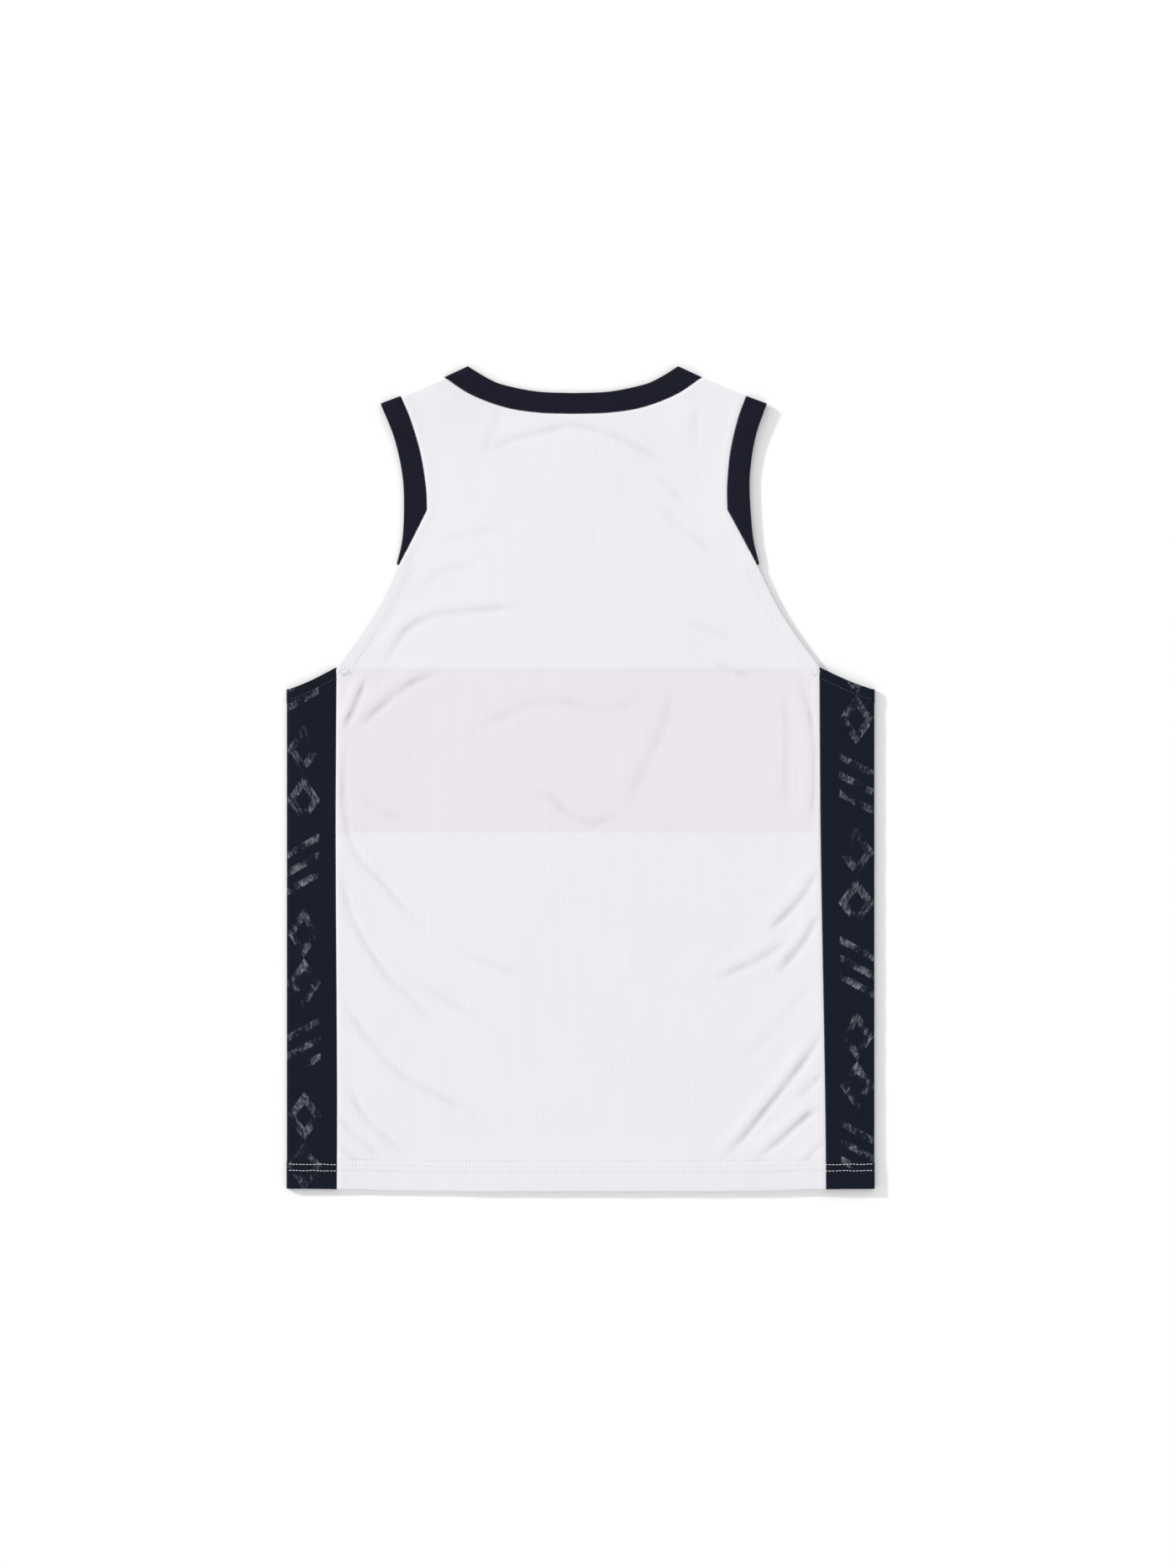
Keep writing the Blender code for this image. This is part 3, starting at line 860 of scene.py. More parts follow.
class DyeBath:
    """A material being made: a Principled shader and the nodes that feed it."""

    def __init__(self, name: str) -> None:
        """Starts an empty material.

        Args:
            name: Name of the material.
        """
        self.material = bpy.data.materials.new(name)
        self.material.use_nodes = True
        self.tree = self.material.node_tree
        self.shader = self.tree.nodes["Principled BSDF"]
        self.count = 0

    def feed(self, socket: bpy.types.NodeSocket, value: object) -> None:
        """Links a value to a socket, or sets the socket to it.

        Args:
            socket: An input socket.
            value: A Value, a number, a colour or a vector.
        """
        if isinstance(value, Value):
            self.tree.links.new(value.socket, socket)
        elif isinstance(value, tuple) and socket.type == "RGBA":
            socket.default_value = (*value, 1.0)
        else:
            socket.default_value = value

    def node(
        self, kind: str, settings: dict[str, object], sockets: dict[str | int, object]
    ) -> bpy.types.Node:
        """Adds a node.

        Args:
            kind: Its type.
            settings: Its own settings, which are set first.
            sockets: Values or links of its input sockets, by name or number.

        Returns:
            The node.
        """
        made = self.tree.nodes.new(kind)
        made.location = (-220 * (1 + self.count // 8), -180 * (self.count % 8))
        self.count += 1
        for key, setting in settings.items():
            setattr(made, key, setting)
        for key, value in sockets.items():
            self.feed(made.inputs[key], value)
        return made

    def cut(self, name: str = "cut") -> tuple[Value, Value, Value]:
        """Reads three values that the meshes carry.

        Args:
            name: Which they are: the cut, or the creases that Lie finds.

        Returns:
            The three values. Those of the cut are two places along the cloth, and how double it is there.
        """
        source = self.node("ShaderNodeAttribute", {"attribute_name": name}, {})
        parts = self.node("ShaderNodeSeparateXYZ", {}, {0: Value(source.outputs["Vector"])})
        return Value(parts.outputs[0]), Value(parts.outputs[1]), Value(parts.outputs[2])

    def place(self, across: Value | float, up: Value | float, third: Value | float = 0.0) -> Value:
        """Three values as one vector."""
        return Value(self.node("ShaderNodeCombineXYZ", {}, {0: across, 1: up, 2: third}).outputs[0])

    def noise(self, where: Value, scale: float, detail: float = 2.0, rough: float = 0.5) -> Value:
        """Smooth noise between about 0.2 and 0.8 at a place."""
        sockets = {"Vector": where, "Scale": scale, "Detail": detail, "Roughness": rough}
        return Value(self.node("ShaderNodeTexNoise", {"noise_dimensions": "3D"}, sockets).outputs[0])

    def rise(self, value: Value, low: float, high: float) -> Value:
        """Turns a value into a smooth step.

        Args:
            value: The value.
            low: Where the step starts.
            high: Where it ends.

        Returns:
            0 up to low, and 1 from high on.
        """
        settings = {"interpolation_type": "SMOOTHSTEP"}
        sockets = {"Value": value, "From Min": low, "From Max": high}
        return Value(self.node("ShaderNodeMapRange", settings, sockets).outputs[0])

    def mix(self, share: Value | float, first: object, second: object) -> Value:
        """A colour between two others."""
        sockets = {0: share, 6: first, 7: second}
        return Value(self.node("ShaderNodeMix", {"data_type": "RGBA"}, sockets).outputs[2])

    def finish(
        self, colour: Value, rough: Value | float, height: Value, sheen: float, gloss: float = 0.25
    ) -> bpy.types.Material:
        """Feeds the shader.

        Args:
            colour: Base colour.
            rough: Roughness.
            height: Height of the surface's fine relief, in millimetres.
            sheen: Weight of the fibres' sheen.
            gloss: Level of the mirror-like part of its reflection.

        Returns:
            The finished material.
        """
        bump = self.node("ShaderNodeBump", {}, {"Strength": 1.0, "Distance": MM, "Height": height})
        sockets = {"Base Color": colour, "Roughness": rough, "Normal": Value(bump.outputs[0])}
        sockets |= {"Specular IOR Level": gloss, "Sheen Weight": sheen, "Sheen Roughness": 0.6}
        for name, value in sockets.items():
            self.feed(self.shader.inputs[name], value)
        return self.material


def shade(colour: tuple[float, float, float], share: float) -> tuple[float, float, float]:
    """A colour times a number."""
    return tuple(part * share for part in colour)


@dataclass(frozen=True)
class MeshKnit:
    """Knit mesh with fine vertical ribs and small eyelets, single or doubled, with painted shade in its
    grooves, eyelets and creases and over its hem.

    Attributes:
        name: Name of the material.
        colour: Colour where the cloth is single.
        through: Colour where the chest band shows through.
        doubled: Colour where the cloth is doubled.
        rib: From one rib to the next.
        eyelet: From one row of eyelets to the next.
        relief: Height of the ribs, and depth of the eyelets; the colour is also painted darker where they are
            lower, as painted shade.
        ledge_shadow: How far over the hem's fold a faint painted shadow runs, where the turned cloth ends.
        vee: How steeply the front's neck rib, which shows through, runs up from the centre.
        shows_front: Whether the front shows through.
    """

    name: str = "white_mesh"
    colour: tuple[float, float, float] = (0.790, 0.784, 0.820)
    through: tuple[float, float, float] = (0.768, 0.728, 0.786)
    doubled: tuple[float, float, float] = (0.782, 0.776, 0.812)
    rib: float = KNIT_PITCH
    eyelet: float = 1.9
    relief: float = 0.022
    ledge_shadow: float = 27.8
    vee: float = 1.377
    shows_front: bool = False

    def height(self, across: Value, up: Value) -> Value:
        """Fine relief of the ribs and eyelets.

        Args:
            across: Cut coordinate across the ribs.
            up: Cut coordinate along them.

        Returns:
            A height in millimetres.
        """
        turn = 2 * math.pi / self.rib
        ribs = (across * turn).cosine()
        rows = (up * (2 * math.pi / self.eyelet)).cosine()
        holes = ((across * (2 * turn)).cosine() * rows).larger(0.0)
        return ribs * self.relief - holes * self.relief

    def make(self) -> bpy.types.Material:
        """Makes the material.

        Returns:
            The material.
        """
        bath = DyeBath(self.name)
        across, up, double = bath.cut()
        relief = self.height(across, up)
        where = bath.place(across, up)
        cloudy = bath.noise(where, 0.012, 3.0)
        streak = bath.noise(bath.place(across, up * 0.03), 0.30, 2.0)
        colour = bath.mix(double, self.colour, self.doubled)
        if self.shows_front:
            band = bath.rise(up, CUT.band_low - 1, CUT.band_low + 1)
            band = band * (1 - bath.rise(up, CUT.band_top - 1, CUT.band_top + 1))
            tint = band * (1 - double) * ((cloudy - 0.5) * 0.9 + 0.95)
            colour = bath.mix(tint, colour, self.through)
            edge = (abs(up - CUT.band_low)).smaller(abs(up - CUT.band_top))
            colour = bath.mix((1 - bath.rise(edge, 0.6, 2.2)) * 0.35, colour, shade(self.through, 0.94))
            vee = up - abs(across) * self.vee
            rib = bath.rise(vee, 198, 202) * (1 - bath.rise(vee, 233, 238))
            rib = rib * (1 - bath.rise(up, 320, 350))
            colour = bath.mix(rib * 0.13 * (1 - double), colour, shade(self.through, 0.97))
        # Painted shade: the colour is darkened along each crease that Lie.creases finds, with noise varying
        # its strength; the same mask also dips the bump.
        off, alone, meeting = bath.cut("crease")
        waver = (bath.noise(where, 0.16, 3.0) - 0.5) * 0.34
        crease = alone * (1 - bath.rise(abs(off + waver), 0.0, 1.1)) + meeting
        crease = crease * (bath.rise(bath.noise(where, 0.028, 2.0), 0.30, 0.68) * 0.95 + 0.55)
        # Painted shade: the colour is darker in the rib grooves and eyelets, following their relief, and
        # varies at random with cloudy and streaky tone.
        tone_and_shade = (relief * 0.45 + 0.99) * ((cloudy - 0.5) * 0.035 + (streak - 0.5) * 0.03 + 1.0)
        # Painted shadow: a thin darker line where the turned hem ends, broken up by noise, beside a small
        # bump dip there.
        ledge_shadow = 1 - bath.rise(abs(up - (CUT.hem + self.ledge_shadow)), 0.3, 1.9)
        ledge_shadow = ledge_shadow * bath.rise(bath.noise(bath.place(across, 0.0), 0.035, 2.0), 0.36, 0.62)
        tone_and_shade = tone_and_shade * (1 - crease * 0.038 - ledge_shadow * 0.085)
        colour = bath.mix(1 - tone_and_shade.smaller(1.0), colour, (0.0, 0.0, 0.0))
        fuzz = bath.noise(where, 2.2, 2.0)
        height = relief + (fuzz - 0.5) * 0.04 - crease * 0.16 - ledge_shadow * 0.10
        return bath.finish(colour, 0.86, height, 0.1, 0.2)


@dataclass(frozen=True)
class RibKnit:
    """Dense rib knit whose fine ribs cross the band, with painted shade on the ribs and a painted highlight
    on its free edge.
    """

    name: str = "navy_rib"
    colour: tuple[float, float, float] = (0.0072, 0.0076, 0.0175)
    # ridge: lighter colour on the ribs' ridges, painted shade that leaves the grooves darker.
    ridge: tuple[float, float, float] = (0.0125, 0.0130, 0.0250)
    # edge: a painted highlight along the folded free edge.
    edge: tuple[float, float, float] = (0.050, 0.052, 0.066)
    pitch: float = 1.5

    def make(self) -> bpy.types.Material:
        """Makes the material.

        Returns:
            The material.
        """
        bath = DyeBath(self.name)
        along, out, _ = bath.cut()
        ribs = (along * (2 * math.pi / self.pitch)).cosine()
        where = bath.place(along, out)
        fuzz = bath.noise(where, 1.6, 3.0)
        cloudy = bath.noise(where, 0.05, 2.0)
        # Painted shade: the colour goes from colour in the grooves to ridge on the ridges, following the
        # ribs, with random cloudy tone.
        colour = bath.mix((ribs * 0.25 + 0.25) + (cloudy - 0.5) * 0.8, self.colour, self.ridge)
        # Painted highlight along the folded free edge, where out is near 0, broken up by fuzz noise.
        pale = (1 - bath.rise(out, 0.2, 1.1)) * bath.rise(fuzz, 0.35, 0.6)
        colour = bath.mix(pale * 0.6, colour, self.edge)
        return bath.finish(colour, 0.9, ribs * 0.05 + (fuzz - 0.5) * 0.08, 0.0, 0.12)


@dataclass(frozen=True)
class WornPrint:
    """Navy knit mesh with a worn grey pattern of lozenges and slanting bars along the side fold."""

    name: str = "navy_mesh"
    colour: tuple[float, float, float] = (0.0058, 0.0085, 0.0172)
    faded: tuple[float, float, float] = (0.050, 0.055, 0.068)
    bright: tuple[float, float, float] = (0.26, 0.28, 0.32)
    reach: float = 33.0
    stroke: float = 4.4
    lozenge: float = 47.0
    bar: float = 17.0
    repeat: float = 171.0

    def motif(self, bath: DyeBath, off: Value, up: Value) -> Value:
        """The pattern before it wore: a chain of lozenges, then three slanting bars.

        Args:
            bath: The material being made.
            off: Distance from the side fold.
            up: Height up the body.

        Returns:
            1 on the pattern and 0 off it.
        """
        at = (up - CUT.hem) % self.repeat
        swing = self.reach * 0.5
        slope = swing / (self.lozenge / 2)
        chain = abs(off - swing) - (swing - abs(at % self.lozenge - self.lozenge / 2) * slope)
        chain = 1 - bath.rise(abs(chain + self.stroke), self.stroke - 0.9, self.stroke + 0.1)
        chain = chain * (1 - bath.rise(at, 2 * self.lozenge - 1.0, 2 * self.lozenge))
        lean = at - off * 0.55 - 2 * self.lozenge - 6.0
        bars = bath.rise(abs(lean % self.bar - self.bar / 2), self.stroke - 1.4, self.stroke - 0.4)
        bars = (1 - bars) * bath.rise(lean, -1.0, 0.0) * (1 - bath.rise(lean, 50.0, 51.0))
        return chain.larger(bars * (1 - bath.rise(off, self.reach - 2.0, self.reach - 1.0)))

    def make(self) -> bpy.types.Material:
        """Makes the material.

        Returns:
            The material.
        """
        bath = DyeBath(self.name)
        off, up, _ = bath.cut()
        turn = 2 * math.pi / KNIT_PITCH
        relief = (off * turn).cosine() * 0.03
        where = bath.place(off, up)
        scratch = bath.noise(bath.place(off * 0.9 + up * 0.25, up * 0.3), 0.42, 5.0, 0.68)
        patches = bath.noise(where, 0.045, 3.0, 0.6)
        fine = bath.noise(where, 1.3, 3.0, 0.7)
        printed = self.motif(bath, abs(off) + (fine - 0.5) * 1.8, up + (scratch - 0.5) * 3.0)
        worn = bath.rise(scratch * 0.8 + (patches - 0.5) * 1.5 + (fine - 0.5) * 0.9, 0.34, 0.56)
        hot = bath.rise(fine + (scratch - 0.5) * 0.9 + (patches - 0.5) * 0.8, 0.56, 0.78)
        ground = bath.mix((fine - 0.35) * 0.5, self.colour, shade(self.colour, 1.7))
        stray = bath.rise(bath.noise(bath.place(off * 0.5 + up, up * 0.2), 0.9, 4.0, 0.7), 0.69, 0.76) * 0.35
        ink = bath.mix(hot, self.faded, self.bright)
        share = (printed * worn).larger(stray * (1 - bath.rise(abs(off), 30.0, 36.0)))
        colour = bath.mix(share, ground, ink)
        return bath.finish(colour, 0.86, relief + (fine - 0.5) * 0.06, 0.0, 0.1)


@dataclass(frozen=True)
class SewingThread:
    """Spun polyester thread, twisted and slightly glossy."""

    name: str = "sewing_thread"
    colour: tuple[float, float, float] = (0.82, 0.82, 0.84)
    twist: float = 0.9

    def make(self) -> bpy.types.Material:
        """Makes the material.

        Returns:
            The material.
        """
        bath = DyeBath(self.name)
        along, _, _ = bath.cut()
        source = bath.node("ShaderNodeTexCoord", {}, {})
        fuzz = bath.noise(Value(source.outputs["Object"]), 900.0, 3.0)
        twisted = (along * (2 * math.pi / self.twist)).cosine()
        colour = bath.mix((fuzz - 0.2) * 0.35, self.colour, shade(self.colour, 0.7))
        return bath.finish(colour, 0.6, twisted * 0.04 + fuzz * 0.03, 0.1)


@dataclass(frozen=True)
class Paper:
    """The pale sheet that the jersey is laid on."""

    name: str = "pale_floor"
    colour: tuple[float, float, float] = (0.965, 0.965, 0.965)

    def make(self) -> bpy.types.Material:
        """Makes the material.

        Returns:
            The material.
        """
        bath = DyeBath(self.name)
        source = bath.node("ShaderNodeTexCoord", {}, {})
        grain = bath.noise(Value(source.outputs["Object"]), 60.0, 4.0)
        colour = bath.mix((grain - 0.5) * 0.02, self.colour, shade(self.colour, 0.9))
        return bath.finish(colour, 0.95, grain * 0.02, 0.0)


# ------------------------------------------------------------------------------------------- pieces


# Heights over the hem of a hemmed panel's first rows of points, and of the row after them
ON_HEM = (
    *(0, 0.5, 1.2, 2.4, 4.2, 6.4, 8.6, 10.8, 13, 14.8),
    *(16.2, 17.2, 18.2, 20.2, 22.2, 23.2, 24.2, 25.4, 27.6),
)
OVER_HEM = 30.5
ROWS_ABOVE = 150
RELAX_ROUNDS = 400
RIB_THINNER = 0.1  # a rib is stretched a little thinner than a hem


def hem_levels() -> Array:
    """Heights of the rows on a side seam from the hem to the armpit, close together on the hem."""
    above = np.linspace(OVER_HEM, CUT.armpit - CUT.hem, ROWS_ABOVE)
    return CUT.hem + np.concatenate([ON_HEM, above])


def shoulder_share(points: Array, wall: float) -> Array:
    """Finds how far up a shoulder fold's round points lie.

    Args:
        points: Cut coordinates of points.
        wall: Thickness of the cloth.

    Returns:
        1 where the layer lies flat, down to 0 at the fold's edge.
    """
    away = np.stack([np.abs(points[..., 0]), points[..., 1]], axis=-1) - CUT.shoulder_seam_point
    inward = -(away @ CUT.outward()) - CUT.seam_gap / 4
    return np.sqrt(1 - np.clip((LIE.round + wall / 2 - inward) / LIE.round, 0, 1) ** 2)


def layer_height(points: Array, layer: Layer, wall: float, side: Side = Side.RIGHT) -> Array:
    """Height of a layer's middle surface, with its turn over the shoulder folds.

    Args:
        points: Cut coordinates of points.
        layer: The layer.
        wall: Thickness of the cloth.
        side: The side of the body that the coordinates are for.

    Returns:
        A height for each point.
    """
    flat = CUT.laid(points, side)
    over, under = LIE.upper(flat), LIE.lower(flat, wall)
    start = over if layer is Layer.BACK else under
    edge = (over + under) / 2 + layer.value * 0.25
    return edge + (start - edge) * shoulder_share(points, wall)


ALLOWANCE = (6.2, 7.8)  # where the seam allowances under the cloth thin out
SEAM_RIDGE = 0.16
SEAM_DIP, SEAM_DIP_WIDE = 0.42, 1.3


def seam_relief(off: Array) -> Array:
    """The dip at a sewn seam and the low ridge of the allowances beside it."""
    return SEAM_RIDGE * (1 - step(off, *ALLOWANCE)) - SEAM_DIP * bell(off, SEAM_DIP_WIDE)


def relaxed(grid: Array, rounds: int) -> Array:
    """Evens out a grid of points inside its edges, so that no cell folds over (Winslow's smoothing).

    Args:
        grid: X and Y of points, rows x columns x 2.
        rounds: How often each inner point moves.

    Returns:
        The grid with its edges as they were.
    """
    grid = grid.copy()
    for _ in range(rounds):
        left, right, low, high = grid[1:-1, :-2], grid[1:-1, 2:], grid[:-2, 1:-1], grid[2:, 1:-1]
        along, up = (right - left) / 2, (high - low) / 2
        twist = grid[2:, 2:] - grid[:-2, 2:] - grid[2:, :-2] + grid[:-2, :-2]
        a, b, c = ((p * q).sum(-1, keepdims=True) for p, q in ((up, up), (along, up), (along, along)))
        grid[1:-1, 1:-1] = (a * (left + right) + c * (low + high) - b / 2 * twist) / (2 * (a + c))
    return grid


@dataclass
class BodyPanel:
    """The back panel or the front yoke: from its lowest seam or hem up to the shoulders.

    Attributes:
        name: Name of the piece.
        layer: The layer that it is in.
        levels: Heights of its rows below the armpits.
        pitch: Length of a row's step on the armholes.
        shoulder_cells: Columns on each shoulder.
        neck_cells: Columns on each half of the neck.
        low_seam: Whether its lowest edge is sewn and not hemmed.
    """

    name: str
    layer: Layer
    levels: Array
    pitch: float
    shoulder_cells: int
    neck_cells: int
    low_seam: bool = False

    def top_lines(self, corner: Array) -> tuple[Array, Array]:
        """Finds where the last rows start and end.

        Args:
            corner: The armhole rib's seam at the right shoulder.

        Returns:
            The starts and the ends of the columns' last stretch, left to right.
        """
        reach = LIE.round + LIE.wall / 2
        outward = CUT.outward()
        gap = CUT.seam_gap / 2
        ends = CUT.neck_seam(self.layer, self.neck_cells, gap)
        back = ends - CUT.neck_seam(self.layer, self.neck_cells, gap + reach)
        turn = step(lengths(ends), 0, 12)[:, None]
        starts = ends - ((1 - turn) * outward * reach + turn * back)
        aside = ends[0] + 0.3 * np.array([outward[1], -outward[0]])
        shoulder = np.linspace(corner, aside, self.shoulder_cells + 1)
        starts = np.vstack([shoulder - outward * reach, starts[1:]])
        ends = np.vstack([shoulder - outward * LIE.wall / 2, ends[1:]])
        return joined(mirrored(starts), starts[::-1]), joined(mirrored(ends), ends[::-1])

    def flat(self) -> Array:
        """Lays out the panel's cut.

        Returns:
            Its points in cut coordinates, rows x columns x 2.
        """
        right = CUT.side_edge(self.levels, self.pitch, self.layer)
        starts, ends = self.top_lines(right[-1])
        right[-1] = starts[-1]
        across = np.linspace(-1, 1, len(starts)) * right[0, 0]
        low = np.stack([across, np.full(len(starts), right[0, 1])], axis=1)
        v = ((right[:, 1] - right[0, 1]) / (right[-1, 1] - right[0, 1]))[:, None, None]
        u = ((low[:, 0] - low[0, 0]) / (low[-1, 0] - low[0, 0]))[None, :, None]
        sides = (1 - u) * mirrored(right)[:, None] + u * right[:, None]
        upward = (1 - v) * low + v * starts
        corners = (1 - v) * ((1 - u) * low[0] + u * low[-1]) + v * ((1 - u) * starts[0] + u * starts[-1])
        grid = sides + upward - corners
        if self.layer is Layer.FRONT:
            grid = relaxed(grid, RELAX_ROUNDS)
        on_shoulder = np.abs(np.arange(len(starts)) - (len(starts) - 1) / 2) >= self.neck_cells
        last = []
        for turn in np.linspace(0, math.pi / 2, 9)[1:]:
            share = np.where(on_shoulder, math.sin(turn), turn / (math.pi / 2))[:, None]
            last.append((1 - share) * starts + share * ends)
        grid = np.concatenate([grid, np.array(last)])
        near = np.array([0, 0.14, 0.32, 0.6])
        columns = grid.shape[1] - 1
        at = np.concatenate([near, np.arange(1, columns), columns - near[::-1]])
        grid = refined(grid, at, 1)
        if not self.low_seam:
            rows = len(ON_HEM)
            grid[:rows, :, 1] = self.levels[:rows, None]
        return grid

    def edges(self, grid: Array) -> tuple[Array, Array]:
        """Finds which edge points are sewn and which are a turned armhole.

        Args:
            grid: The panel's cut coordinates.

        Returns:
            The sewn points and the turned ones.
        """
        seams, turned = [], []
        for column in (0, -1):
            edge = grid[:, column]
            free = (edge[:, 1] > CUT.armpit + 0.5) & (edge[:, 1] < CUT.rib_end[1])
            seams.append(edge[~free])
            turned.append(edge[free])
        top = grid[-1]
        seams.append(top[np.abs(top[:, 0]) < CUT.neck_seam_point[0] - 1])
        if self.low_seam:
            seams.append(grid[0])
        return np.vstack(seams), np.vstack(turned)

    def shell(self) -> Shell:
        """Works out the panel's wall.

        Returns:
            The wall, ready to build.
        """
        flat = self.flat()
        z = layer_height(flat, self.layer, LIE.wall)
        sewn, turned = (distance(flat, edge) for edge in self.edges(flat))
        up = flat[..., 1] - CUT.hem
        relief = seam_relief(sewn)
        relief += ARMHOLE_HEM.ditches(turned) - 0.15 * bell(turned, 0.9)
        relief += 0.12 * uneven(flat[..., 1], 9.0, 0.4) * bell(turned - ARMHOLE_HEM.rows[0], 4.0)
        hem = np.zeros(up.shape)
        if not self.low_seam:
            hem = BOTTOM_HEM.doubled(up)
            relief += BOTTOM_HEM.ditches(up) - 0.12 * bell(up, 0.9)
            relief += 0.14 * uneven(flat[..., 0], 8.5, 1.3) * bell(up - 20.0, 6.0)
            relief += 0.10 * uneven(flat[..., 0], 38.0, 2.1) * bell(up - 4.0, 12.0)
            wavy = 0.35 * uneven(flat[..., 0], 70, 0.9) * bell(up, 30)
            flat = flat + np.stack([np.zeros(up.shape), wavy], -1)
        if self.layer is Layer.FRONT:
            relief = np.maximum(relief, 0) * 0.5
        double = np.maximum(ARMHOLE_HEM.doubled(turned), hem)
        wall = LIE.thickness(double)
        if self.layer is Layer.FRONT:
            z = z + (wall - LIE.wall) / 2
        middle = raised(CUT.laid(flat), z + relief)
        cut = raised(flat, np.maximum(double, (1 - step(sewn, *ALLOWANCE)) * 0.5))
        crease = LIE.creases(CUT.laid(flat)) if self.layer is Layer.BACK else None
        return Shell(self.name, middle, wall, cut, crease=crease)


@dataclass
class FlatPanel:
    """A panel of the lower layer between two levels, from side seam to side seam.

    Attributes:
        name: Name of the piece.
        low: Height of its lowest edge.
        high: Height of its highest edge.
        hemmed: Whether its lowest edge is a hem.
    """

    name: str
    low: float
    high: float
    hemmed: bool

    def shell(self) -> Shell:
        """Works out the panel's wall.

        Returns:
            The wall, ready to build.
        """
        gap = CUT.seam_gap / 2
        low = self.low if self.hemmed else self.low + gap
        near = np.array([0, 0.6, 1.6, 3.2])
        high = self.high - gap
        levels = np.concatenate([low + near, np.arange(low + 6, high - 5, 5.0), high - near[::-1]])
        if self.hemmed:
            levels = np.sort(np.concatenate([levels, low + np.array([22.5, *BOTTOM_HEM.ends])]))
        share = np.concatenate([[-1, -0.997, -0.99], np.linspace(-0.975, 0.975, 84), [0.99, 0.997, 1]])
        half = CUT.seam_out(levels) - gap
        flat = np.stack(np.broadcast_arrays(half[:, None] * share, levels[:, None]), axis=-1)
        up = flat[..., 1] - CUT.hem
        hem = BOTTOM_HEM.doubled(up) if self.hemmed else np.zeros(up.shape)
        wall = LIE.thickness(hem)
        middle = raised(CUT.laid(flat), LIE.lower(CUT.laid(flat), 0.0) + wall / 2)
        cut = raised(flat, hem)
        return Shell(self.name, middle[:, ::-1], wall[:, ::-1], cut[:, ::-1])


@dataclass
class SidePanel:
    """A side panel: from the back's side seam out to the side fold, and under to the front's.

    Attributes:
        name: Name of the piece.
        side: The side that it is on.
        start: How far up its print starts.
    """

    name: str
    side: Side
    start: float = 0.0

    def shell(self) -> Shell:
        """Works out the panel's wall.

        Returns:
            The wall, ready to build.
        """
        tall = CUT.armpit - CUT.hem
        levels = hem_levels()
        near_top = CUT.armpit - np.array([0.5, 1.2, 2.4, 4.2, 6.2, 7.6, 8.6, 9.4, 10.2, 11.4, 12.0, 12.8])
        shares = (np.unique(np.concatenate([levels, near_top])) - CUT.hem) / tall
        top = curve(((CUT.seam_at_armpit, CUT.armpit), *CUT.side_top), 60)
        fold_out = CUT.half_width - LIE.round - LIE.wall / 2
        above_part = np.concatenate([[0, 0.012, 0.03, 0.055, 0.085], np.linspace(0.125, 1, 19)])
        below_part = np.linspace(0, 1, 12)
        turn = np.linspace(0, math.pi, 11)
        rows, cuts, walls = [], [], []
        for share in shares:
            seam = CUT.seam_out(CUT.hem + share * tall) + CUT.seam_gap / 2
            leaves = []
            for part in (above_part, below_part):
                out = seam + (fold_out - seam) * part
                up = CUT.hem + share * (np.interp(out, top[:, 0], top[:, 1]) - CUT.hem)
                x = self.side.value * out + CUT.lean(up) * (1 - part)
                from_top = np.interp(out, top[:, 0], top[:, 1]) - up
                double = np.maximum(BOTTOM_HEM.doubled(up - CUT.hem), SIDE_TOP_HEM.doubled(from_top))
                lifted = up + CUT.lifted(out, up)
                leaves.append((out, np.stack([x, lifted], axis=1), from_top, double, up - CUT.hem))
            out, flat, from_top, double, hem_up = leaves[0]
            relief = seam_relief(out - seam) + SIDE_TOP_HEM.ditches(from_top)
            relief += BOTTOM_HEM.ditches(hem_up)
            relief += 0.12 * uneven(flat[:, 0], 8.5, 1.3) * bell(hem_up - 20.0, 6.0)
            relief += 0.18 * uneven(flat[:, 1], 37, self.side.value) * bell(out - fold_out, 14)
            above = raised(flat, LIE.upper(flat) + relief)
            wall = LIE.thickness(double)
            low_out, low_flat, _, low_double, _ = leaves[1]
            low_wall = LIE.thickness(low_double)
            below = raised(low_flat, low_wall / 2)[::-1]
            rest, half = (above[-1, 2] + below[0, 2]) / 2, (above[-1, 2] - below[0, 2]) / 2
            x = above[-1, 0] + self.side.value * LIE.round * np.sin(turn)
            around = np.stack([x, np.full(len(turn), above[-1, 1]), rest + half * np.cos(turn)], axis=1)
            rows.append(np.vstack([above[:-1], around, below[1:]]))
            off = CUT.half_width - out
            low_off = out[-1] - low_out[::-1] - off[-1]
            across = np.concatenate([off[:-1], np.linspace(off[-1], -off[-1], len(turn)), low_off[1:]])
            doubles = np.concatenate([double[:-1], np.full(len(turn), double[-1]), low_double[::-1][1:]])
            cuts.append(np.stack([across, rows[-1][:, 1] + self.start, doubles], axis=1))
            walls.append(np.concatenate([wall[:-1], np.full(len(turn), wall[-1]), low_wall[::-1][1:]]))
        middle, cut, wall = np.array(rows), np.array(cuts), np.array(walls)
        if self.side is Side.LEFT:
            middle, cut, wall = middle[:, ::-1], cut[:, ::-1], wall[:, ::-1]
        return Shell(self.name, middle, wall, cut)


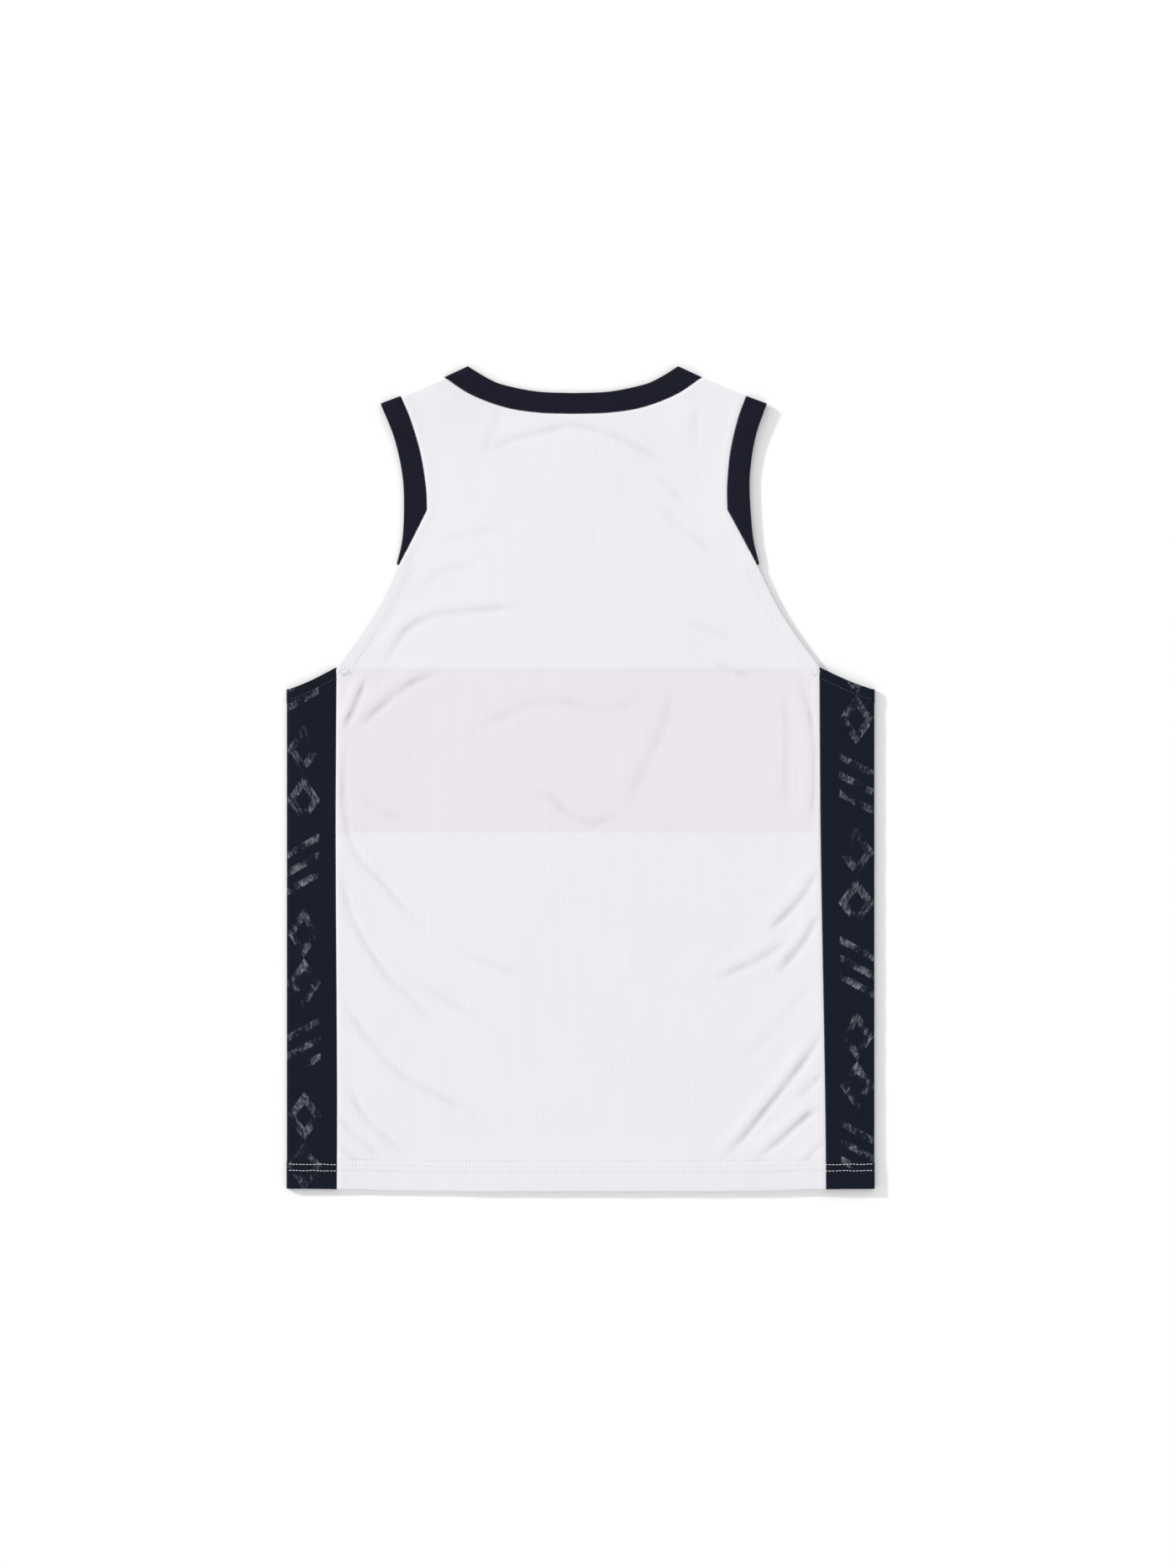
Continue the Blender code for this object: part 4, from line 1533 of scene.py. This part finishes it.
@dataclass
class Rib:
    """What the neck rib and the armhole ribs share: strips on both layers, and a turn over a shoulder.

    Attributes:
        name: Name of the piece.
    """

    name: str
    across: tuple[float, ...] = (0, 0.02, 0.06, 0.13, 0.24, 0.38, 0.52, 0.66, 0.79, 0.89, 0.95, 0.985, 1)

    def over(self, back: tuple[Array, Array], front: tuple[Array, Array], side: Side) -> tuple[Array, Array]:
        """Lays a rib along the back, over a shoulder and along the front.

        Args:
            back: Its free edge and its seam on the back, from the shoulder.
            front: The same on the front.
            side: The side of the body.

        Returns:
            Its middle points and its cut coordinates, from the back to the front.
        """
        reach = LIE.round + LIE.double / 2
        outward = CUT.outward()
        share = np.array(self.across)[:, None]
        flats, heights, firsts = [], [], []
        for lines, layer in ((back, Layer.BACK), (front, Layer.FRONT)):
            away = np.min([(line[0] - line) @ outward for line in lines], axis=0)
            keep = [k for k in range(1, len(away)) if away[k] > reach + 0.7]
            rows = np.array([(1 - share) * lines[0][k] + share * lines[1][k] for k in keep])
            flats.append(rows)
            heights.append(layer_height(rows, layer, LIE.double, side))
            firsts.append([(line[0], line[keep[0]] - line[0]) for line in lines])
        turned, turned_z = [], []
        base = None
        for turn in np.linspace(0, math.pi, 15):
            ends = []
            for start, run in firsts[0] if turn < 1.6 else firsts[1]:
                ends.append(start - run / (run @ outward) * (reach - LIE.round * math.sin(turn)))
            row = (1 - share) * ends[0] + share * ends[1]
            base = row if base is None else base
            flat = CUT.laid(base, side)
            top, low = LIE.upper(flat), LIE.lower(flat, LIE.double)
            turned.append(row)
            turned_z.append((top + low) / 2 + (top - low) / 2 * math.cos(turn))
        flat = np.concatenate([flats[0][::-1], np.array(turned), flats[1]])
        z = np.concatenate([heights[0][::-1], np.array(turned_z), heights[1]])
        wide = np.linalg.norm(flat[:, -1] - flat[:, 0], axis=1)[:, None]
        out = share.T * wide
        relief = 0.20 * np.sqrt(np.clip(4 * share.T * (1 - share.T), 0, 1)) - 0.40 * bell(wide - out, 1.3)
        relief = (relief - 0.25 * bell(out, 1.0)) * np.where(z > 2.4, 1, 0.3)
        relief = np.maximum(relief, np.where(z > 1.6, -9, 0))
        middle = raised(CUT.laid(flat, side), z + relief)
        along = lengths(middle[:, len(self.across) // 2])
        across, run = np.broadcast_arrays(out, along[:, None])
        return middle, np.stack([run, across, np.ones(run.shape)], axis=-1)


@dataclass
class NeckRib(Rib):
    """The rib round the neck: along the back, over both shoulders and down to the front's V."""

    back_cells: int = 52
    front_cells: int = 64

    def shell(self) -> Shell:
        """Works out the rib's wall.

        Returns:
            The wall, ready to build.
        """
        gap = CUT.seam_gap / 2
        back, front = (
            (CUT.neck_edge(layer, cells), CUT.neck_seam(layer, cells, -gap))
            for layer, cells in ((Layer.BACK, self.back_cells), (Layer.FRONT, self.front_cells))
        )
        right, right_cut = self.over(back, front, Side.RIGHT)
        left, left_cut = self.over(back, front, Side.LEFT)
        left_cut = left_cut * np.array([-1, 1, 1])
        middle = np.concatenate([right, left[-2:0:-1]])
        cut = np.concatenate([right_cut, left_cut[-2:0:-1]])
        return Shell(self.name, middle, LIE.double - RIB_THINNER, cut, closed=True)


@dataclass
class ArmholeRib(Rib):
    """The rib on an upper armhole, from its slanting end on the back over the shoulder to the front's."""

    side: Side = Side.RIGHT
    pitch: float = 2.4

    def shell(self) -> Shell:
        """Works out the rib's wall.

        Returns:
            The wall, ready to build.
        """
        seam = CUT.rib_line(self.pitch)
        edge = curve((CUT.shoulder_tip, *CUT.rib_edge), len(seam) - 1)
        back, front = (
            (CUT.scooped(edge, layer), shifted(CUT.scooped(seam, layer), CUT.seam_gap / 2))
            for layer in (Layer.BACK, Layer.FRONT)
        )
        middle, cut = self.over(back, front, self.side)
        if self.side is Side.RIGHT:
            middle, cut = middle[:, ::-1], cut[:, ::-1]
        return Shell(self.name, middle, LIE.double - RIB_THINNER, cut)


# ----------------------------------------------------------------------------------------- stitches


@dataclass
class Stitching:
    """Thread laid on the finished cloth.

    Attributes:
        pieces: The pieces that the thread lies on.
        ring: Points round a thread.
        stations: Rings along a stitch.
        hem_stitch: Length of a stitch of the bottom hem, and the gap after it.
        fine_stitch: The same for the armholes and the side panels' tops.
        loop_pitch: From one overlock loop to the next.
    """

    pieces: list[bpy.types.Object]
    ring: int = 6
    stations: int = 6
    hem_stitch: Point = (2.7, 0.5)
    fine_stitch: Point = (2.4, 0.6)
    loop_pitch: float = 2.3

    def __post_init__(self) -> None:
        """Joins the pieces' faces into one tree that points are dropped on."""
        points, faces, start = [], [], 0
        for piece in self.pieces:
            mesh = piece.data
            points += [vertex.co.copy() for vertex in mesh.vertices]
            faces += [[start + k for k in face.vertices] for face in mesh.polygons]
            start += len(mesh.vertices)
        self.tree = BVHTree.FromPolygons(points, faces)

    def drop(self, flat: Array) -> Array:
        """Drops points on the cloth from above.

        Args:
            flat: X and Y of points, n x 2.

        Returns:
            The points with the cloth's height.
        """
        found = []
        for x, y in flat:
            hit = self.tree.ray_cast(Vector((x * MM, y * MM, 0.05)), Vector((0, 0, -1)))[0]
            found.append(hit.z / MM if hit is not None else np.nan)
        z = np.array(found)
        good = ~np.isnan(z)
        return raised(flat, np.interp(np.arange(len(z)), np.arange(len(z))[good], z[good]))

    def row(self, line: Array, length: float, gap: float) -> tuple[Array, Array]:
        """Cuts a line into stitches.

        Args:
            line: X and Y of the line's points.
            length: Length of a stitch.
            gap: Gap after it.

        Returns:
            The stitches' starts and ends on the cloth.
        """
        total = lengths(line)[-1]
        count = max(int(total / (length + gap)), 1)
        begin = (np.arange(count) + 0.5) / count - length / (2 * total)
        wobble = 0.03 * np.sin(np.arange(count) * 2.7)
        starts = resample(line, begin + wobble / count)
        ends = resample(line, begin + length / total + wobble / count)
        return self.drop(starts), self.drop(ends)

    def sew(self, name: str, stitches: list[tuple[Array, Array]], radius: float) -> bpy.types.Object:
        """Makes one object of many stitches.

        Args:
            name: Its name.
            stitches: Starts and ends of groups of stitches.
            radius: Radius of the thread.

        Returns:
            The object.
        """
        starts = np.vstack([pair[0] for pair in stitches])
        ends = np.vstack([pair[1] for pair in stitches])
        count = len(starts)
        share = np.linspace(0, 1, self.stations)[None, :, None]
        centre = (1 - share) * starts[:, None] + share * ends[:, None]
        arch = np.sin(math.pi * share[..., 0])
        centre[..., 2] += radius * (1.5 * arch - 0.75)
        run = unit(ends - starts)
        aside = unit(np.cross(run, [0, 0, 1.0]))
        above = np.cross(aside, run)
        angle = np.linspace(0, 2 * math.pi, self.ring, endpoint=False)
        thick = radius * (0.45 + 0.55 * arch**0.5)[:, :, None, None]
        ring = np.cos(angle)[:, None] * aside[:, None, None] + np.sin(angle)[:, None] * above[:, None, None]
        points = centre[:, :, None] + thick * ring
        block = self.stations * self.ring
        number = np.arange(block).reshape(self.stations, self.ring)
        first, last, inner = number[0], number[-1], range(1, self.ring - 1)
        caps = [[first[0], first[k + 1], first[k]] for k in inner]
        caps += [[last[0], last[k], last[k + 1]] for k in inner]
        every = np.arange(count)[:, None, None] * block
        sides = quads(np.hstack([number, number[:, :1]])) + every
        faces = sides.reshape(-1, 4).tolist() + (np.array(caps) + every).reshape(-1, 3).tolist()
        cut = np.zeros((*points.shape[:3], 3))
        cut[..., 0] = (share[..., 0] * np.linalg.norm(ends - starts, axis=1)[:, None])[:, :, None]
        cut[..., 1] = np.arange(count)[:, None, None]
        return make_object(name, points.reshape(-1, 3), faces, cut)

    def hem_rows(self) -> bpy.types.Object:
        """Sews the hem's two rows of long stitches, right across the upper layer.

        Returns:
            The stitches as one object.
        """
        groups = []
        reach = CUT.half_width - 1.6
        x = np.linspace(-reach, reach, 120)
        for up in BOTTOM_HEM.rows:
            level = CUT.hem + up
            line = np.stack([x, level + CUT.lifted(x, level) + 0.30 * uneven(x, 26, up)], axis=1)
            groups.append(self.row(line, *self.hem_stitch))
        return self.sew("hem_stitches", groups, 0.30)

    def armhole_rows(self) -> bpy.types.Object:
        """Sews the row of stitches on each lower armhole's hem.

        Returns:
            The stitches as one object.
        """
        line = shifted(CUT.hem_line(3.0), -ARMHOLE_HEM.rows[0])
        line = line[(line[:, 1] > CUT.armpit + 2) & (line[:, 1] < CUT.rib_end[1] + 6)]
        groups = [self.row(CUT.laid(line, side), *self.fine_stitch) for side in Side]
        return self.sew("armhole_stitches", groups, 0.22)

    def side_rows(self) -> bpy.types.Object:
        """Sews the row of stitches on each side panel's top hem.

        Returns:
            The stitches as one object.
        """
        groups = []
        top = curve(((CUT.seam_at_armpit, CUT.armpit), *CUT.side_top), 30)
        top = top[(top[:, 0] > CUT.seam_at_armpit + 1) & (top[:, 0] < CUT.half_width - 2)]
        out, up = (top - np.array([0, SIDE_TOP_STITCHES])).T
        lean = CUT.lean(up) * (1 - (out - CUT.seam_at_armpit) / 46)
        for side in Side:
            line = np.stack([side.value * out + lean, up], axis=1)
            groups.append(self.row(line, *self.fine_stitch))
        return self.sew("side_top_stitches", groups, 0.2)

    def seam_loops(self) -> bpy.types.Object:
        """Sews the overlock's short loops, which peep out along the seams between white and navy.

        Returns:
            The stitches as one object.
        """
        groups = []
        ribs = CUT.rib_line(3.0)
        neck = CUT.neck_seam(Layer.BACK, 40, 0.0)[1:]
        levels = np.linspace(CUT.armpit - 4, CUT.hem + 1, 160)
        seams = (
            (np.stack([CUT.seam_out(levels), levels], axis=1), 1.0),
            (ribs[2:-1], 1.0),
            (joined(neck, mirrored(neck)[::-1]), -1.0),
        )
        for line, toward in seams:
            for side in Side if toward > 0 else (Side.RIGHT,):
                count = int(lengths(line)[-1] / self.loop_pitch)
                order = np.arange(count)
                share = (order + 0.5) / count + 0.12 / count * np.sin(order * 5.1)
                long = 0.55 + 0.35 * np.sin(order * 1.9) ** 2
                out = shifted(line, toward)
                inner = resample(shifted(line, -0.5 * toward), share)
                seam = resample(line, share)
                outer = seam + (resample(out, share) - seam) * long[:, None]
                groups.append((self.drop(CUT.laid(inner, side)), self.drop(CUT.laid(outer, side))))
        return self.sew("seam_stitches", groups, 0.15)

    def tacks(self) -> bpy.types.Object:
        """Sews the tangle of tacking stitches at each armpit.

        Returns:
            The stitches as one object.
        """
        groups = []
        for side, wide in ((Side.LEFT, 13.0), (Side.RIGHT, 9.0)):
            corner = np.array([CUT.seam_at_armpit - 0.5, CUT.armpit - 2.0])
            turns = 15
            share = np.arange(turns) / (turns - 1)
            x = corner[0] - wide * share
            y = corner[1] - 3.2 + 1.2 * np.sin(share * 9.0)
            low = np.stack([x - 0.8 * np.sin(share * 31), y - 2.4 - 1.2 * np.sin(share * 17) ** 2], axis=1)
            high = np.stack([x + 0.9 + 0.7 * np.sin(share * 23), y + 2.2 + np.cos(share * 13) ** 2], axis=1)
            groups.append((self.drop(CUT.laid(low, side)), self.drop(CUT.laid(high, side))))
            groups.append((self.drop(CUT.laid(high[:-1], side)), self.drop(CUT.laid(low[1:], side))))
        return self.sew("armpit_tacks", groups, 0.2)


# -------------------------------------------------------------------------------------------- stage


@dataclass
class Studio:
    """The floor, the lights and the camera straight above.

    Attributes:
        centre: X and Y, in metres, that the camera looks at.
        tall: How much of the floor the picture's long side takes in, in metres.
        lens: Focal length, in millimetres.
        sky: Brightness of the even light from all round.
        key: Power of the lamp at the upper left.
        key_away: How far away it hangs, in metres.
        key_way: The direction that it hangs in.
        sensor: Width of the camera's sensor, in millimetres.
        reach: How far the floor goes from the middle, in millimetres.
        below: How far the floor lies under the cloth, in millimetres.
        lines: Lines of points across the floor.
    """

    centre: Point = (0.0069, -0.0049)
    tall: float = 1.4656
    lens: float = 85.0
    sky: float = 0.83
    key: float = 920.0
    key_away: float = 12.0
    key_way: tuple[float, float, float] = (-0.86, 0.50, 0.44)
    sensor: float = 36.0
    reach: float = 15000.0
    below: float = 0.05
    lines: int = 13

    def floor(self) -> bpy.types.Object:
        """Lays the pale floor.

        Returns:
            The floor.
        """
        side = np.linspace(-self.reach, self.reach, self.lines)
        x, y = np.meshgrid(side, side)
        points = np.stack([x, y, np.full(x.shape, -self.below)], axis=-1).reshape(-1, 3)
        floor = make_object("floor", points, quads(np.arange(x.size).reshape(x.shape)).tolist())
        floor.data.materials.append(Paper().make())
        return floor

    def light(self) -> None:
        """Sets the even light and the key light."""
        world = bpy.data.worlds.new("studio")
        world.use_nodes = True
        sky = world.node_tree.nodes["Background"].inputs
        sky["Strength"].default_value = self.sky
        sky["Color"].default_value = (1.0, 1.0, 1.0, 1.0)
        bpy.context.scene.world = world
        lamp = bpy.data.lights.new("key", "AREA")
        lamp.energy = self.key
        lamp.shape = "DISK"
        lamp.size = 1.0
        toward = Vector(self.key_way).normalized()
        key = linked("key", lamp)
        key.location = toward * self.key_away
        key.rotation_euler = toward.to_track_quat("Z", "Y").to_euler()

    def shoot(self) -> None:
        """Sets the camera straight above, the neck at the top of the picture."""
        data = bpy.data.cameras.new("camera")
        data.lens = self.lens
        data.sensor_width = self.sensor
        data.clip_end = 50.0
        camera = linked("camera", data)
        camera.location = (*self.centre, self.lens / self.sensor * self.tall)
        bpy.context.scene.camera = camera
        bpy.context.scene.view_settings.view_transform = "Standard"


# --------------------------------------------------------------------------------------------- main


@dataclass
class Jersey:
    """The whole jersey: its cloth pieces and its stitches."""

    white: MeshKnit = MeshKnit(shows_front=True)
    inside: MeshKnit = MeshKnit(name="white_mesh_front")
    rose: MeshKnit = MeshKnit(
        name="rose_mesh", colour=(0.62, 0.50, 0.56), through=(0.62, 0.50, 0.56), doubled=(0.60, 0.48, 0.54)
    )
    navy: WornPrint = WornPrint()
    rib: RibKnit = RibKnit()
    thread: SewingThread = SewingThread()
    tonal: SewingThread = SewingThread(name="tonal_thread", colour=(0.10, 0.11, 0.13))
    pieces: list[bpy.types.Object] = field(default_factory=list)

    def place(self, piece: bpy.types.Object, material: bpy.types.Material, slot: str) -> bpy.types.Object:
        """Dresses a piece and fixes it to the frame.

        Args:
            piece: The piece.
            material: Its finish.
            slot: The record's material slot; not used.

        Returns:
            The piece.
        """
        piece.data.materials.append(material)
        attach(piece, "root")
        log.info("%s: %d points, %d faces", piece.name, len(piece.data.vertices), len(piece.data.polygons))
        return piece

    def cloth(self) -> None:
        """Builds every cloth piece in place of its node."""
        white, inside, rose = self.white.make(), self.inside.make(), self.rose.make()
        navy, rib = self.navy.make(), self.rib.make()
        yoke_levels = np.array([CUT.band_top + CUT.seam_gap / 2, CUT.armpit])
        back = BodyPanel("back_cloth", Layer.BACK, hem_levels(), 3.1, 16, 52)
        yoke = BodyPanel("yoke_cloth", Layer.FRONT, yoke_levels, 5.5, 8, 24, True)
        band = FlatPanel("band_cloth", CUT.band_low, CUT.band_top, False)
        lower = FlatPanel("lower_cloth", CUT.hem, CUT.band_low, True)
        side_left = SidePanel("side_cloth_left", Side.LEFT)
        side_right = SidePanel("side_cloth_right", Side.RIGHT, 96.0)
        neck = NeckRib("neck_rib_knit")
        rib_left = ArmholeRib("armhole_knit_left", side=Side.LEFT)
        rib_right = ArmholeRib("armhole_knit_right", side=Side.RIGHT)
        fronts = ("front_yoke", "front_chest_band", "front_lower_panel")
        floor, on_yoke = ("floor",), ("front_yoke",)
        # Columns: node, maker, finish, slot, width and length of its cut, the cut's area, what it rests on
        rows = (
            ("back_panel", back, white, "white_mesh", (0.458, 0.760), 0.305, fronts),
            ("front_yoke", yoke, inside, "white_mesh", (0.453, 0.273), 0.066, floor),
            ("front_chest_band", band, rose, "rose_mesh", (0.455, 0.151), None, floor),
            ("front_lower_panel", lower, inside, "white_mesh", (0.459, 0.336), None, floor),
            ("side_panel_left", side_left, navy, "navy_mesh", (0.094, 0.489), None, floor),
            ("side_panel_right", side_right, navy, "navy_mesh", (0.094, 0.489), None, floor),
            ("neck_rib", neck, rib, "navy_rib", (0.020, 0.640), None, on_yoke),
            ("armhole_rib_left", rib_left, rib, "navy_rib", (0.020, 0.330), 0.0053, on_yoke),
            ("armhole_rib_right", rib_right, rib, "navy_rib", (0.020, 0.330), 0.0053, on_yoke),
        )
        names = {}
        for node, maker, finish, slot, *_ in rows:
            names[node] = self.place(maker.shell().build(), finish, slot)
            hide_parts(node)
        self.pieces += names.values()

    def sewing(self) -> None:
        """Lays every stitch on the cloth."""
        work = Stitching(self.pieces)
        thread = self.thread.make()
        for make in (work.hem_rows, work.armhole_rows, work.seam_loops, work.tacks):
            self.place(make(), thread, "white_mesh")
        self.place(work.side_rows(), self.tonal.make(), "navy_mesh")


def main() -> None:
    """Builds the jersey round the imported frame, and the studio round the jersey."""
    logging.basicConfig(level=logging.INFO, format="%(name)s: %(message)s")
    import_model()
    studio = Studio()
    studio.floor()
    studio.light()
    studio.shoot()
    jersey = Jersey()
    jersey.cloth()
    jersey.sewing()


if __name__ == "__main__":
    main()
